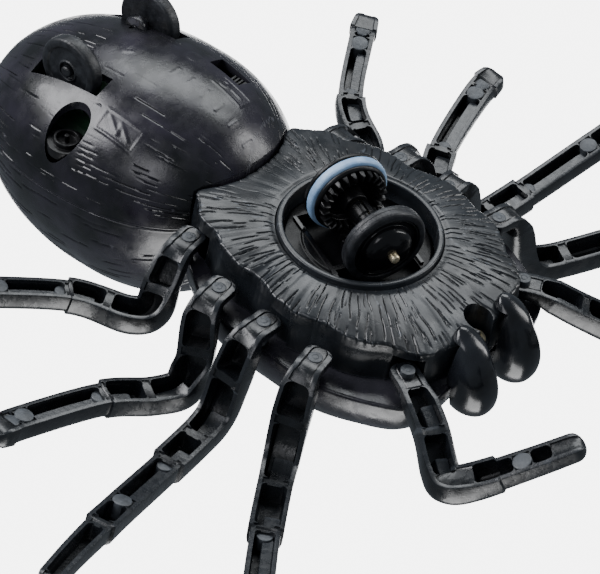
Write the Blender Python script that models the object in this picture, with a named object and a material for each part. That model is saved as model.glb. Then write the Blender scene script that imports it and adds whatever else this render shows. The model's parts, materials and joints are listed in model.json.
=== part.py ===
"""Toy spider with a steering drive turret: solids, sizes and joint axes.

Metres, +Z up. The spider stands belly down on its wheels. The head looks
towards -Y, the spider's left side is +X, and z = 0 is the floor.
"""
import bpy
import bmesh
import math
from mathutils import Matrix, Vector

MM = 0.001
GAP = 0.3                     # gap between pieces that touch
MID_Y = 14.166                # middle of the length, measured from the turret's axis
PI = math.pi

# ---- thorax ----
RIM_Z = 12.2                  # belly-side face of the turret opening's rim
RIM_R = 16.0                  # turret opening, inner radius
RING_R = 17.7                 # smooth ring around the opening
SEAM_Z = 24.2                 # top of the lower shell's side wall
CARA_TOP = 43.5               # highest point of the back shell
WALL = 1.5
# plate outline, one half, from the rear middle to the front middle
PLATE = [(0, 27.2), (5.5, 27.6), (10.5, 29.2), (14.6, 31.2), (17.6, 28.4), (20.4, 25.2),
         (21.2, 20.6), (23.8, 16.2), (25.0, 11.0), (24.9, 6.0), (26.6, 0.6), (26.9, -5.4),
         (25.2, -10.6), (24.6, -15.6), (22.6, -20.2), (19.8, -23.6), (18.0, -27.6),
         (15.2, -30.6), (10.8, -31.8), (5.5, -33.2), (0, -33.6)]
# back shell outline, one half
BACK = [(0, 27.4), (8, 28.6), (15.5, 31.6), (20.6, 28.6), (24.8, 23.0), (28.6, 17.0),
        (31.0, 11.0), (31.6, 3.0), (31.7, -6.0), (31.6, -14.2), (29.6, -21.0), (26.4, -27.5),
        (22.8, -32.6), (17.0, -35.0), (9.0, -34.6), (0, -34.0)]

# ---- abdomen ----
AB_C = (0.0, 59.8, 27.0)      # centre of the egg
AB_AX, AB_AY = 27.15, 35.6    # half width, half length
AB_DOWN, AB_UP = 22.55, 33.0  # depth below and height above the seam
AB_P, AB_K = 2.26, -0.03      # fullness of the egg, taper to the rear
AB_TILT = math.radians(6.5)   # rear end raised
AB_WALL = 1.7

# ---- turret ----
AXLE_DIR = math.atan2(-0.921, 0.391)   # axle's direction in plan, wheel A to wheel B
AXLE_Z = 9.0
DRIVE_R = 9.0                 # drive wheels' radius, so they touch the floor
CROWN_N, PINION_N = 24, 12
CROWN_R, PINION_R = 6.8, 3.4  # pitch radii
DISC_R = 15.65

# ---- rear wheels ----
RW_R, RW_W = 7.5, 3.4
RW_X, RW_Y = 12.3, 69.5

# ---- legs: route of the channel's middle, from the peg to the tip ----
LEGS = {
    "leg_1": dict(path=[(23.0, 25.7, 20.0), (26.6, 25.3, 20.4), (30.7, 24.6, 25.2), (34.5, 23.4, 30.4),
                        (38.6, 26.4, 31.6), (45.0, 36.5, 29.4), (59.6, 46.0, 25.4), (66.4, 49.6, 23.2)],
                  a=36.0, b=51.0, foot=True),
    "leg_2": dict(path=[(29.6, 11.8, 20.0), (33.2, 11.4, 20.4), (35.4, 10.7, 24.6), (37.6, 9.2, 32.6),
                        (40.6, 8.9, 38.2), (46.4, 12.2, 39.2), (56.2, 17.4, 37.1), (74.3, 22.2, 34.4),
                        (82.4, 22.4, 32.0)],
                  a=41.5, b=60.5, foot=True),
    "leg_3": dict(path=[(30.3, -0.7, 20.0), (33.9, -0.6, 20.3), (36.0, -0.5, 24.6), (38.0, -0.4, 31.4),
                        (40.9, -0.7, 37.4), (46.4, -1.5, 39.0), (60.7, -3.6, 37.6), (78.8, -7.4, 32.6),
                        (95.0, -11.4, 27.6), (109.0, -15.4, 23.4)],
                  a=42.0, b=61.0, foot=False),
    "leg_4": dict(path=[(30.4, -14.2, 20.0), (33.9, -14.9, 20.3), (36.0, -15.5, 24.6), (38.0, -16.1, 31.2),
                        (41.2, -17.7, 36.6), (47.0, -21.0, 37.8), (63.0, -31.0, 34.2), (77.0, -40.5, 30.8),
                        (92.0, -50.5, 26.4)],
                  a=47.0, b=64.5, foot=False),
}
PALP = dict(path=[(19.4, -29.0, 21.0), (21.4, -32.8, 21.4), (25.2, -40.2, 24.0), (29.6, -46.4, 27.0),
                  (30.6, -49.6, 27.6), (28.0, -53.4, 26.0), (20.0, -60.8, 20.4), (12.2, -67.2, 15.4)],
            elbow=24.5, b=40.5)
TAB_Z0, TAB_Z1 = 18.6, 21.4   # leg's root tab
TAB_R, PEG_R, PEG_CLEAR = 3.1, 1.5, 0.08


# ------------------------------------------------------------------ helpers
for ob in list(bpy.data.objects):
    bpy.data.objects.remove(ob, do_unlink=True)

MATS = {}


def material(name, colour, rough=0.4, metal=0.0):
    if name not in MATS:
        m = bpy.data.materials.new(name)
        m.use_nodes = True
        b = m.node_tree.nodes["Principled BSDF"]
        b.inputs["Base Color"].default_value = (*colour, 1.0)
        b.inputs["Roughness"].default_value = rough
        b.inputs["Metallic"].default_value = metal
        m.diffuse_color = (*colour, 1.0)
        MATS[name] = m
    return MATS[name]


SHELL = material("shell_plastic", (0.045, 0.047, 0.052), 0.32)
LEGM = material("leg_plastic", (0.030, 0.031, 0.035), 0.35)
GLOSS = material("gloss_black", (0.012, 0.012, 0.014), 0.15)
RUBBER = material("black_rubber", (0.030, 0.030, 0.032), 0.6)
TYRE = material("pale_tyre", (0.55, 0.68, 0.80), 0.45)
METAL = material("zinc_steel", (0.62, 0.60, 0.55), 0.3, 1.0)
DARK = material("inner_black", (0.02, 0.02, 0.02), 0.5)
BOARD = material("board_green", (0.02, 0.16, 0.07), 0.5)
CELL = material("cell_wrap", (0.10, 0.28, 0.16), 0.4)
EYE = material("eye_red", (0.45, 0.02, 0.02), 0.15)
CASE = material("case_grey", (0.25, 0.26, 0.28), 0.5)


def to_object(name, bm, mat, origin=(0, 0, 0), smooth=True):
    """bm is in world millimetres; the object's origin goes to `origin`."""
    o = Vector(origin)
    bmesh.ops.translate(bm, verts=bm.verts, vec=-o)
    bmesh.ops.scale(bm, verts=bm.verts, vec=(MM, MM, MM))
    me = bpy.data.meshes.new(name)
    bm.to_mesh(me)
    bm.free()
    if mat:
        me.materials.append(mat)
    ob = bpy.data.objects.new(name, me)
    ob.location = o * MM
    bpy.context.scene.collection.objects.link(ob)
    if smooth:
        me.shade_smooth()
        me.set_sharp_from_angle(angle=math.radians(35))
    return ob


def boolean(ob, steps, solver="EXACT"):
    """steps: list of (operation, cutter object); the result is baked.
    MANIFOLD is used on the thin shells and legs, where EXACT leaves open edges."""
    cutters = []
    for op, cut in steps:
        md = ob.modifiers.new(op, "BOOLEAN")
        md.operation = op
        md.solver = solver
        md.object = cut
        cutters.append(cut)
    bpy.context.view_layer.update()
    dg = bpy.context.evaluated_depsgraph_get()
    me = bpy.data.meshes.new_from_object(ob.evaluated_get(dg))
    ob.modifiers.clear()
    old = ob.data
    ob.data = me
    me.name = ob.name
    bpy.data.meshes.remove(old)
    me.shade_smooth()
    me.set_sharp_from_angle(angle=math.radians(35))
    for c in cutters:
        bpy.data.objects.remove(c, do_unlink=True)
    return ob


def ring_loft(rings, closed=False, cap0=True, cap1=True):
    """Skin through rings of equal length. closed joins the last ring to the first."""
    bm = bmesh.new()
    vs = [[bm.verts.new(p) for p in r] for r in rings]
    n = len(rings[0])
    m = len(vs)
    for i in range(m if closed else m - 1):
        a, b = vs[i], vs[(i + 1) % m]
        for j in range(n):
            k = (j + 1) % n
            bm.faces.new((a[j], a[k], b[k], b[j]))
    if not closed:
        if cap0:
            bm.faces.new(list(reversed(vs[0])))
        if cap1:
            bm.faces.new(vs[-1])
    bmesh.ops.recalc_face_normals(bm, faces=bm.faces)
    return bm


def frame_of(axis):
    a = Vector(axis).normalized()
    h = Vector((0, 0, 1)) if abs(a.z) < 0.9 else Vector((1, 0, 0))
    u = a.cross(h).normalized()
    return a, u, u.cross(a)


def lathe(profile, origin, axis, n=32, phase=0.0):
    """Turned solid. profile is a closed list of (radius, distance along axis).
    A profile that starts and ends at radius 0 makes a solid without a bore."""
    a, u, w = frame_of(axis)
    o = Vector(origin)
    bm = bmesh.new()
    rings = []
    for r, s in profile:
        if r < 1e-6:
            rings.append([bm.verts.new(o + a * s)])
        else:
            rings.append([bm.verts.new(o + a * s + (u * math.cos(t) + w * math.sin(t)) * r)
                          for t in (phase + 2 * PI * k / n for k in range(n))])
    bored = len(rings[0]) > 1
    m = len(rings)
    for i in range(m if bored else m - 1):
        p, q = rings[i], rings[(i + 1) % m]
        for j in range(n):
            k = (j + 1) % n
            if len(p) == 1 and len(q) == 1:
                continue
            if len(p) == 1:
                bm.faces.new((p[0], q[k], q[j]))
            elif len(q) == 1:
                bm.faces.new((p[j], p[k], q[0]))
            else:
                bm.faces.new((p[j], p[k], q[k], q[j]))
    bmesh.ops.recalc_face_normals(bm, faces=bm.faces)
    return bm


def cylinder(r, p0, axis, length, n=24):
    return lathe([(0, 0), (r, 0), (r, length), (0, length)], p0, axis, n)


def box(lo, hi, rot=None, centre=None):
    bm = bmesh.new()
    bmesh.ops.create_cube(bm, size=1.0)
    lo, hi = Vector(lo), Vector(hi)
    bmesh.ops.scale(bm, verts=bm.verts, vec=hi - lo)
    bmesh.ops.translate(bm, verts=bm.verts, vec=(lo + hi) / 2)
    if rot is not None:
        bmesh.ops.rotate(bm, verts=bm.verts, cent=Vector(centre), matrix=rot)
    return bm


def cutter(bm, name="cutter"):
    ob = to_object(name, bm, None, smooth=False)
    ob.hide_render = True
    ob.display_type = "WIRE"
    return ob


def bevelled(bm, width, segments=2, angle=35):
    edges = [e for e in bm.edges if len(e.link_faces) == 2
             and e.calc_face_angle(0) > math.radians(angle)]
    bmesh.ops.bevel(bm, geom=edges, offset=width, offset_type="OFFSET", segments=segments,
                    profile=0.5, affect="EDGES", clamp_overlap=True)
    return bm


def catmull(points, t):
    """Point at t in 0..len-1 on a Catmull-Rom curve."""
    n = len(points)
    i = min(int(t), n - 2)
    f = t - i
    p1, p2 = Vector(points[i]), Vector(points[i + 1])
    p0 = Vector(points[i - 1]) if i > 0 else p1 * 2 - p2
    p3 = Vector(points[i + 2]) if i + 2 < n else p2 * 2 - p1
    return 0.5 * ((2 * p1) + (p2 - p0) * f + (2 * p0 - 5 * p1 + 4 * p2 - p3) * f * f
                  + (3 * p1 - p0 - 3 * p2 + p3) * f * f * f)


# --------------------------------------------------------- outline functions
def full_outline(half):
    """Closed plan outline from one half, rear middle first, going round by +X."""
    left = [(-x, y) for x, y in reversed(half[1:-1])]
    return list(half) + left


def radial(half, n, offset=0.0):
    """n points of the outline at equal angles round the origin, from the rear (+Y)."""
    poly = [Vector((x, y, 0)) for x, y in full_outline(half)]
    m = len(poly)
    fine = []
    for i in range(m):
        p0, p1, p2, p3 = poly[i - 1], poly[i], poly[(i + 1) % m], poly[(i + 2) % m]
        for f in (0.0, 0.25, 0.5, 0.75):
            fine.append(0.5 * ((2 * p1) + (p2 - p0) * f + (2 * p0 - 5 * p1 + 4 * p2 - p3) * f * f
                               + (3 * p1 - p0 - 3 * p2 + p3) * f ** 3))
    ang = [math.atan2(p.x, p.y) for p in fine]
    out = []
    for k in range(n):
        th = 2 * PI * k / n
        th = th - 2 * PI if th > PI else th
        best = None
        for i in range(len(fine)):
            a0, a1 = ang[i], ang[(i + 1) % len(fine)]
            if a1 < a0 - PI:
                a1 += 2 * PI
            for tt in (th, th + 2 * PI):
                if a0 <= tt <= a1:
                    f = (tt - a0) / (a1 - a0 + 1e-12)
                    best = fine[i].lerp(fine[(i + 1) % len(fine)], f)
        d = best.normalized()
        out.append(best + d * offset)
    return out


def outline_prism(half, offset, z0, z1, n=72):
    base = radial(half, n, offset)
    return ring_loft([[(p.x, p.y, z0) for p in base], [(p.x, p.y, z1) for p in base]])


def plate_edge_z(p):
    """Height of the plate's outer edge: the plate is slightly domed, higher at the head."""
    return 14.5 + 1.4 * max(0.0, (-p.y - 14.0) / 20.0)


# ------------------------------------------------------------- lower shell
def thorax_lower():
    n = 48
    out = radial(PLATE, n)
    rings = []

    def circle(r, z):
        rings.append([(r * math.sin(2 * PI * k / n), r * math.cos(2 * PI * k / n), z) for k in range(n)])

    def between(f, dz, inset=0.0, z=None):
        """f 0 at the ring round the opening, 1 at the plate's edge."""
        row = []
        for k, p in enumerate(out):
            c = Vector((math.sin(2 * PI * k / n), math.cos(2 * PI * k / n), 0)) * (RING_R + 0.3)
            q = c.lerp(p - p.normalized() * inset, f)
            ze = plate_edge_z(p)
            zz = RIM_Z + 0.5 + (ze - RIM_Z - 0.5) * (f ** 1.8) + dz if z is None else z
            row.append((q.x, q.y, zz))
        rings.append(row)

    circle(RIM_R, RIM_Z + 0.35)
    circle(RIM_R + 0.35, RIM_Z)
    circle(RING_R - 0.35, RIM_Z)
    circle(RING_R, RIM_Z + 0.5)
    between(0.6, 0.0)
    between(0.95, 0.0)
    between(1.0, 0.5)
    between(1.0, 0, -0.7, SEAM_Z)
    between(1.0, 0, WALL - 0.7, SEAM_Z)
    between(1.0, 0, WALL, 17.6)
    circle(RING_R + 0.1, 14.6)
    circle(RING_R, 17.5)
    circle(RIM_R, 17.5)
    bm = ring_loft(rings, closed=True)
    ob = to_object("thorax_lower_shell", bm, SHELL)
    boss = lathe([(0, 15.6), (4.3, 15.6), (4.3, 24.0), (0, 24.0)], (0, -29.6, 0), (0, 0, 1), 24)
    steps = [("UNION", cutter(boss))]
    steps += [("DIFFERENCE", cutter(cylinder(3.2, (0, -31.2, 8), (0, 0, 1), 13.6, 24)))]
    steps += [("DIFFERENCE", cutter(cylinder(1.45, (0, -31.2, 8), (0, 0, 1), 30, 16)))]
    for nm, sp in list(LEGS.items()) + [("palp", PALP)]:
        for s in (1, -1):
            p0, p1 = Vector(sp["path"][0]), Vector(sp["path"][1])
            d = (p1 - p0)
            d.z = 0
            d.normalize()
            c = Vector((p0.x * s, p0.y, 0))
            ang = math.atan2(d.y, d.x * s)
            rot = Matrix.Rotation(ang, 3, "Z")
            lo, hi = (c.x - 3.6, c.y - 3.9, 17.7), (c.x + 8.0, c.y + 3.9, 30)
            steps.append(("DIFFERENCE", cutter(box(lo, hi, rot, c))))
    return boolean(ob, steps, "MANIFOLD")


# --------------------------------------------------------------- back shell
def dome_rings(half, n, inset, z_base, z_top, steps, power=2.4, rise=0.30):
    base = radial(half, n, -inset)
    rows = []
    for i in range(steps + 1):
        a = (PI / 2) * i / steps
        if i == steps:
            break
        s = math.cos(a) ** (2 / power)
        z = z_base + (z_top - z_base) * math.sin(a) ** (2 / power)
        rows.append([(p.x * s, p.y * s - 1.5 * (1 - s), z) for p in base])
    return rows


def thorax_back():
    n = 40
    outer = dome_rings(BACK, n, 0.0, SEAM_Z + GAP, CARA_TOP, 7)
    inner = dome_rings(BACK, n, 1.7, SEAM_Z + GAP, CARA_TOP - 1.8, 5)
    bm = bmesh.new()
    vo = [[bm.verts.new(p) for p in r] for r in outer]
    vi = [[bm.verts.new(p) for p in r] for r in inner]
    for vs in (vo, vi):
        for i in range(len(vs) - 1):
            for j in range(n):
                k = (j + 1) % n
                bm.faces.new((vs[i][j], vs[i][k], vs[i + 1][k], vs[i + 1][j]))
        zt = CARA_TOP if vs is vo else CARA_TOP - 1.8
        top = bm.verts.new((0, -1.5, zt))
        for j in range(n):
            bm.faces.new((vs[-1][j], vs[-1][(j + 1) % n], top))
    for j in range(n):
        k = (j + 1) % n
        bm.faces.new((vo[0][j], vo[0][k], vi[0][k], vi[0][j]))
    bmesh.ops.recalc_face_normals(bm, faces=bm.faces)
    return to_object("thorax_back_shell", bm, SHELL)


# ------------------------------------------------------------------ abdomen
AB_M = Matrix.Translation(Vector(AB_C)) @ Matrix.Rotation(AB_TILT, 4, "X")


def egg_rows(sign, inset, n, steps, seam_gap=0.0):
    """Rings of one half of the egg, from the seam towards the pole; then the pole."""
    ax, ay = AB_AX - inset, AB_AY - inset
    h = (AB_DOWN if sign < 0 else AB_UP) - inset
    rows = []
    z0 = sign * seam_gap
    for i in range(steps):
        a = (PI / 2) * i / steps
        s = math.cos(a)
        row = []
        for k in range(n):
            f = 2 * PI * k / n
            u = math.copysign(abs(math.sin(f)) ** (2 / AB_P), math.sin(f))
            x = ax * math.copysign(abs(math.cos(f)) ** (2 / AB_P), math.cos(f)) * (1 + AB_K * u)
            y = ay * u
            x, y = x * s, y * s
            uu = y / ay
            rr = max(0.0, 1 - abs(uu) ** AB_P) ** (1 / AB_P) * (1 + AB_K * uu)
            q = 1 - (x / (ax * rr)) ** 2 if rr > 1e-6 else 0.0
            z = h * rr * math.sqrt(max(0.0, q)) if i else 0.0
            row.append(AB_M @ Vector((x, y, sign * z if abs(z) > seam_gap else z0)))
        rows.append(row)
    return rows, AB_M @ Vector((0, 0, sign * h))


def egg_half(name, sign, n=40, so=8, si=4):
    outer, po = egg_rows(sign, 0.0, n, so, GAP / 2)
    inner, pi_ = egg_rows(sign, AB_WALL, n, si, GAP / 2)
    bm = bmesh.new()
    sets = []
    for rows, pole in ((outer, po), (inner, pi_)):
        vs = [[bm.verts.new(p) for p in r] for r in rows]
        top = bm.verts.new(pole)
        for i in range(len(vs) - 1):
            for j in range(n):
                k = (j + 1) % n
                bm.faces.new((vs[i][j], vs[i][k], vs[i + 1][k], vs[i + 1][j]))
        for j in range(n):
            bm.faces.new((vs[-1][j], vs[-1][(j + 1) % n], top))
        sets.append(vs)
    for j in range(n):
        k = (j + 1) % n
        bm.faces.new((sets[0][0][j], sets[0][0][k], sets[1][0][k], sets[1][0][j]))
    bmesh.ops.recalc_face_normals(bm, faces=bm.faces)
    ob = to_object(name, bm, SHELL)
    waist = cutter(outline_prism(BACK if sign > 0 else PLATE, 0.9 if sign < 0 else 0.5, -5, 70, 72))
    return ob, waist


def abdomen():
    belly, waist = egg_half("abdomen_belly_shell", -1)
    steps = [("DIFFERENCE", waist), ("DIFFERENCE", cutter(outline_prism(BACK, 0.5, SEAM_Z - 0.2, 70, 72)))]
    for s in (1, -1):
        # cheek that carries the rear wheel's pin, inboard of the slot
        steps.append(("UNION", cutter(lathe([(0, 0), (2.9, 0), (2.9, 1.6), (0, 1.6)],
                                            (s * (RW_X - 4.2) - 0.8, RW_Y, RW_R), (1, 0, 0), 20))))
        steps.append(("UNION", cutter(box((s * (RW_X - 4.2) - 0.75, RW_Y - 2.7, RW_R),
                                          (s * (RW_X - 4.2) + 0.75, RW_Y + 2.7, 10.6)))))
        slot = box((s * RW_X - 2.4, RW_Y - 9.2, -2), (s * RW_X + 2.4, RW_Y + 9.2, 14.6))
        steps.append(("DIFFERENCE", cutter(slot)))
        steps.append(("DIFFERENCE", cutter(cylinder(1.1, (s * RW_X - 12, RW_Y, RW_R), (1, 0, 0), 24, 16))))
    steps.append(("DIFFERENCE", cutter(cylinder(4.5, (21.3, 61.6, 0), (0, 0, 1), 22, 28))))
    steps.append(("DIFFERENCE", cutter(box((-13.6, 42.0, 0), (-9.2, 50.2, 14)))))
    boolean(belly, steps, "MANIFOLD")
    back, waist = egg_half("abdomen_back_shell", 1)
    boolean(back, [("DIFFERENCE", waist)])
    # spinnerets: two short rounded nubs at the rear end
    for s, nm in ((1, "left"), (-1, "right")):
        prof = [(0, 0), (3.2, 0), (3.0, 2.6), (2.2, 4.4), (0.9, 5.2), (0, 5.3)]
        bm = lathe(prof, (s * 4.6, 91.8, 30.4), (s * 0.25, 1, 0.12), 20)
        nub = to_object("spinneret_" + nm, bm, SHELL)
        solid = egg_solid(0.3)
        boolean(nub, [("DIFFERENCE", solid)])


def egg_solid(grow, n=40):
    """The whole egg as one closed cutter, grown all round."""
    bm = bmesh.new()
    lo, pl = egg_rows(-1, -grow, n, 10)
    hi, ph = egg_rows(1, -grow, n, 10)
    vl = [[bm.verts.new(p) for p in r] for r in lo]
    vh = [vl[0]] + [[bm.verts.new(p) for p in r] for r in hi[1:]]
    for vs, pole in ((vl, pl), (vh, ph)):
        top = bm.verts.new(pole)
        for i in range(len(vs) - 1):
            for j in range(n):
                k = (j + 1) % n
                bm.faces.new((vs[i][j], vs[i][k], vs[i + 1][k], vs[i + 1][j]))
        for j in range(n):
            bm.faces.new((vs[-1][j], vs[-1][(j + 1) % n], top))
    bmesh.ops.recalc_face_normals(bm, faces=bm.faces)
    return cutter(bm)


# --------------------------------------------------------------------- legs
def arc_table(path, per=12):
    pts = [catmull(path, i / per) for i in range((len(path) - 1) * per + 1)]
    acc = [0.0]
    for p, q in zip(pts, pts[1:]):
        acc.append(acc[-1] + (q - p).length)
    return pts, acc


def at_arc(tab, s):
    pts, acc = tab
    if s < 0:
        return pts[0] + (pts[1] - pts[0]).normalized() * s
    s = min(s, acc[-1])
    for i in range(len(acc) - 1):
        if s <= acc[i + 1]:
            f = (s - acc[i]) / (acc[i + 1] - acc[i] + 1e-12)
            return pts[i].lerp(pts[i + 1], f)
    return pts[-1]


def leg_frame(tab, s):
    """Middle point, tangent, sideways and open-side directions of the channel at arc s."""
    c = at_arc(tab, s)
    t = (at_arc(tab, s + 1.2) - at_arc(tab, s - 1.2)).normalized()
    far = at_arc(tab, s + 7.0) - at_arc(tab, s - 7.0)
    flat = Vector((far.x, far.y, 0)).normalized()
    side = Vector((0, 0, 1)).cross(flat).normalized()
    side = (side - t * side.dot(t)).normalized()
    down = t.cross(side)
    if down.z > 0 or (abs(down.z) < 0.3 and down.dot(flat) < 0):
        down = -down
    return c, t, side, down


def lerp_table(rows, s):
    if s <= rows[0][0]:
        return rows[0][1:]
    for a, b in zip(rows, rows[1:]):
        if s <= b[0]:
            f = (s - a[0]) / (b[0] - a[0] + 1e-9)
            return tuple(x + (y - x) * f for x, y in zip(a[1:], b[1:]))
    return rows[-1][1:]


def channel(w, h, floor):
    """Section of the channel: (sideways, towards the open side), wall 1 mm thick.
    floor is the hollow's depth as a share of h: -0.75 in a cell, 0.9 at a rib."""
    c = w - 1.0
    return [(-w, h), (-w, -0.4 * h), (-0.55 * w, -h), (0.55 * w, -h), (w, -0.4 * h), (w, h),
            (c, h), (c * 0.86, floor * h), (-c * 0.86, floor * h), (-c, h)]


def leg(name, spec, side, sizes, cells, stations, pin_name):
    """A one-piece leg: a channel open on the belly side, stiffened by ribs between its cells."""
    path = spec["path"]
    tab = arc_table(path)
    stops = [(s, 0.9) for s in stations if not any(c0 - 0.3 < s < c1 + 0.3 for c0, c1 in cells)]
    stops += [(s, -0.75) for s in stations if any(c0 + 0.6 < s < c1 - 0.6 for c0, c1 in cells)]
    for c0, c1 in cells:
        stops += [(c0, 0.9), (c0 + 0.3, -0.75), (c1 - 0.3, -0.75), (c1, 0.9)]
    stops.sort()
    rings = []
    for s, floor in stops:
        c, t, sd, dn = leg_frame(tab, s)
        w, h = lerp_table(sizes, s)
        rings.append([c + sd * u + dn * v for u, v in channel(w, h, floor)])
    # rounded closed tip
    c, t, sd, dn = leg_frame(tab, stops[-1][0])
    w, h = lerp_table(sizes, stops[-1][0])
    for g, k in ((0.55, 0.86), (0.9, 0.5)):
        rings.append([c + t * (w * g) + (sd * u + dn * v) * k for u, v in channel(w, h, 0.9)])
    rings = [[(p[0] * side, p[1], p[2]) for p in r] for r in rings]
    peg = Vector((path[0][0] * side, path[0][1], path[0][2]))
    ob = to_object(name, ring_loft(rings), LEGM, origin=peg)
    hole = cylinder(PEG_R + PEG_CLEAR, (peg.x, peg.y, 10), (0, 0, 1), 20, 14)
    boolean(ob, [("DIFFERENCE", cutter(hole))], "MANIFOLD")
    prof = [(0, TAB_Z0 - 0.1), (PEG_R, TAB_Z0 - 0.1), (PEG_R, SEAM_Z), (0, SEAM_Z)]
    to_object(pin_name, lathe(prof, (peg.x, peg.y, 0), (0, 0, 1), 14), LEGM)


def legs():
    for s, side in ((1, "l"), (-1, "r")):
        for nm, sp in LEGS.items():
            pts, acc = arc_table(sp["path"])
            end = acc[-1]
            a, b = sp["a"], sp["b"]
            k = 0.92 if nm == "leg_1" else 1.0
            st2 = end - 5.0 if sp["foot"] else b + 9.5
            sizes = [(-3.1, 1.3, 1.3), (-2.4, 2.3, 1.4), (-1.0, 3.0, 1.4), (3.2, 3.0, 1.5),
                     (6.5, 3.7 * k, 2.6), (12, 3.9 * k, 3.0), (22, 3.8 * k, 3.1),
                     (30, 3.6 * k, 2.9), (a - 0.8, 3.6 * k, 2.9),
                     (a - 0.4, 3.0 * k, 2.5), (b + 4, 3.1 * k, 2.5), (st2 - 0.2, 3.2 * k, 2.6)]
            if sp["foot"]:
                sizes += [(st2 + 0.2, 3.5 * k, 2.9), (end, 2.9 * k, 2.4)]
            else:
                sizes += [(st2 + 0.2, 2.7, 2.3), (end, 2.3, 2.0)]
            end -= 2.2
            knee = 21.5 if nm != "leg_1" else 16.5
            cells = [(7.2, knee - 1.0), (knee + 1.0, a - 3.0), (a + 1.8, st2 - 1.2)]
            if not sp["foot"]:
                cells.append((st2 + 2.0, end - 1.5))
            stations = [-3.1, -2.4, -1.0, 3.4, 6.0, 12.0, knee,
                        a - 0.8, a - 0.4, st2 - 0.2, st2 + 0.2, end]
            leg("%s_%s" % (nm, side), sp, s, sizes, cells, sorted(stations), "%s_pin_%s" % (nm, side))
        sp = PALP
        pts, acc = arc_table(sp["path"])
        end = acc[-1]
        e, b = sp["elbow"], sp["b"]
        sizes = [(-3.1, 1.3, 1.3), (-2.4, 2.3, 1.4), (-1.0, 3.0, 1.4), (3.4, 3.0, 1.8), (7, 3.4, 2.6),
                 (e - 3, 3.5, 2.9), (e + 3, 3.6, 2.9), (b - 5.2, 3.4, 2.7), (b - 4.8, 2.9, 2.3),
                 (end, 2.6, 2.1)]
        end -= 2.2
        cells = [(6.2, e - 3.0), (e + 3.6, b - 6.4), (b - 3.6, end - 0.6)]
        stations = [-3.1, -2.4, -1.0, 3.4, 5.5, 12, e, b - 5.2, b - 4.8, end]
        leg("palp_%s" % side, sp, s, sizes, cells, stations, "palp_pin_%s" % side)


# ------------------------------------------------------------------- turret
AX = Vector((math.cos(AXLE_DIR), math.sin(AXLE_DIR), 0))
EX = Vector((-AX.y, AX.x, 0))            # across the axle


def on_axle(s, z=AXLE_Z):
    return Vector((AX.x * s, AX.y * s, z))


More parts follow.
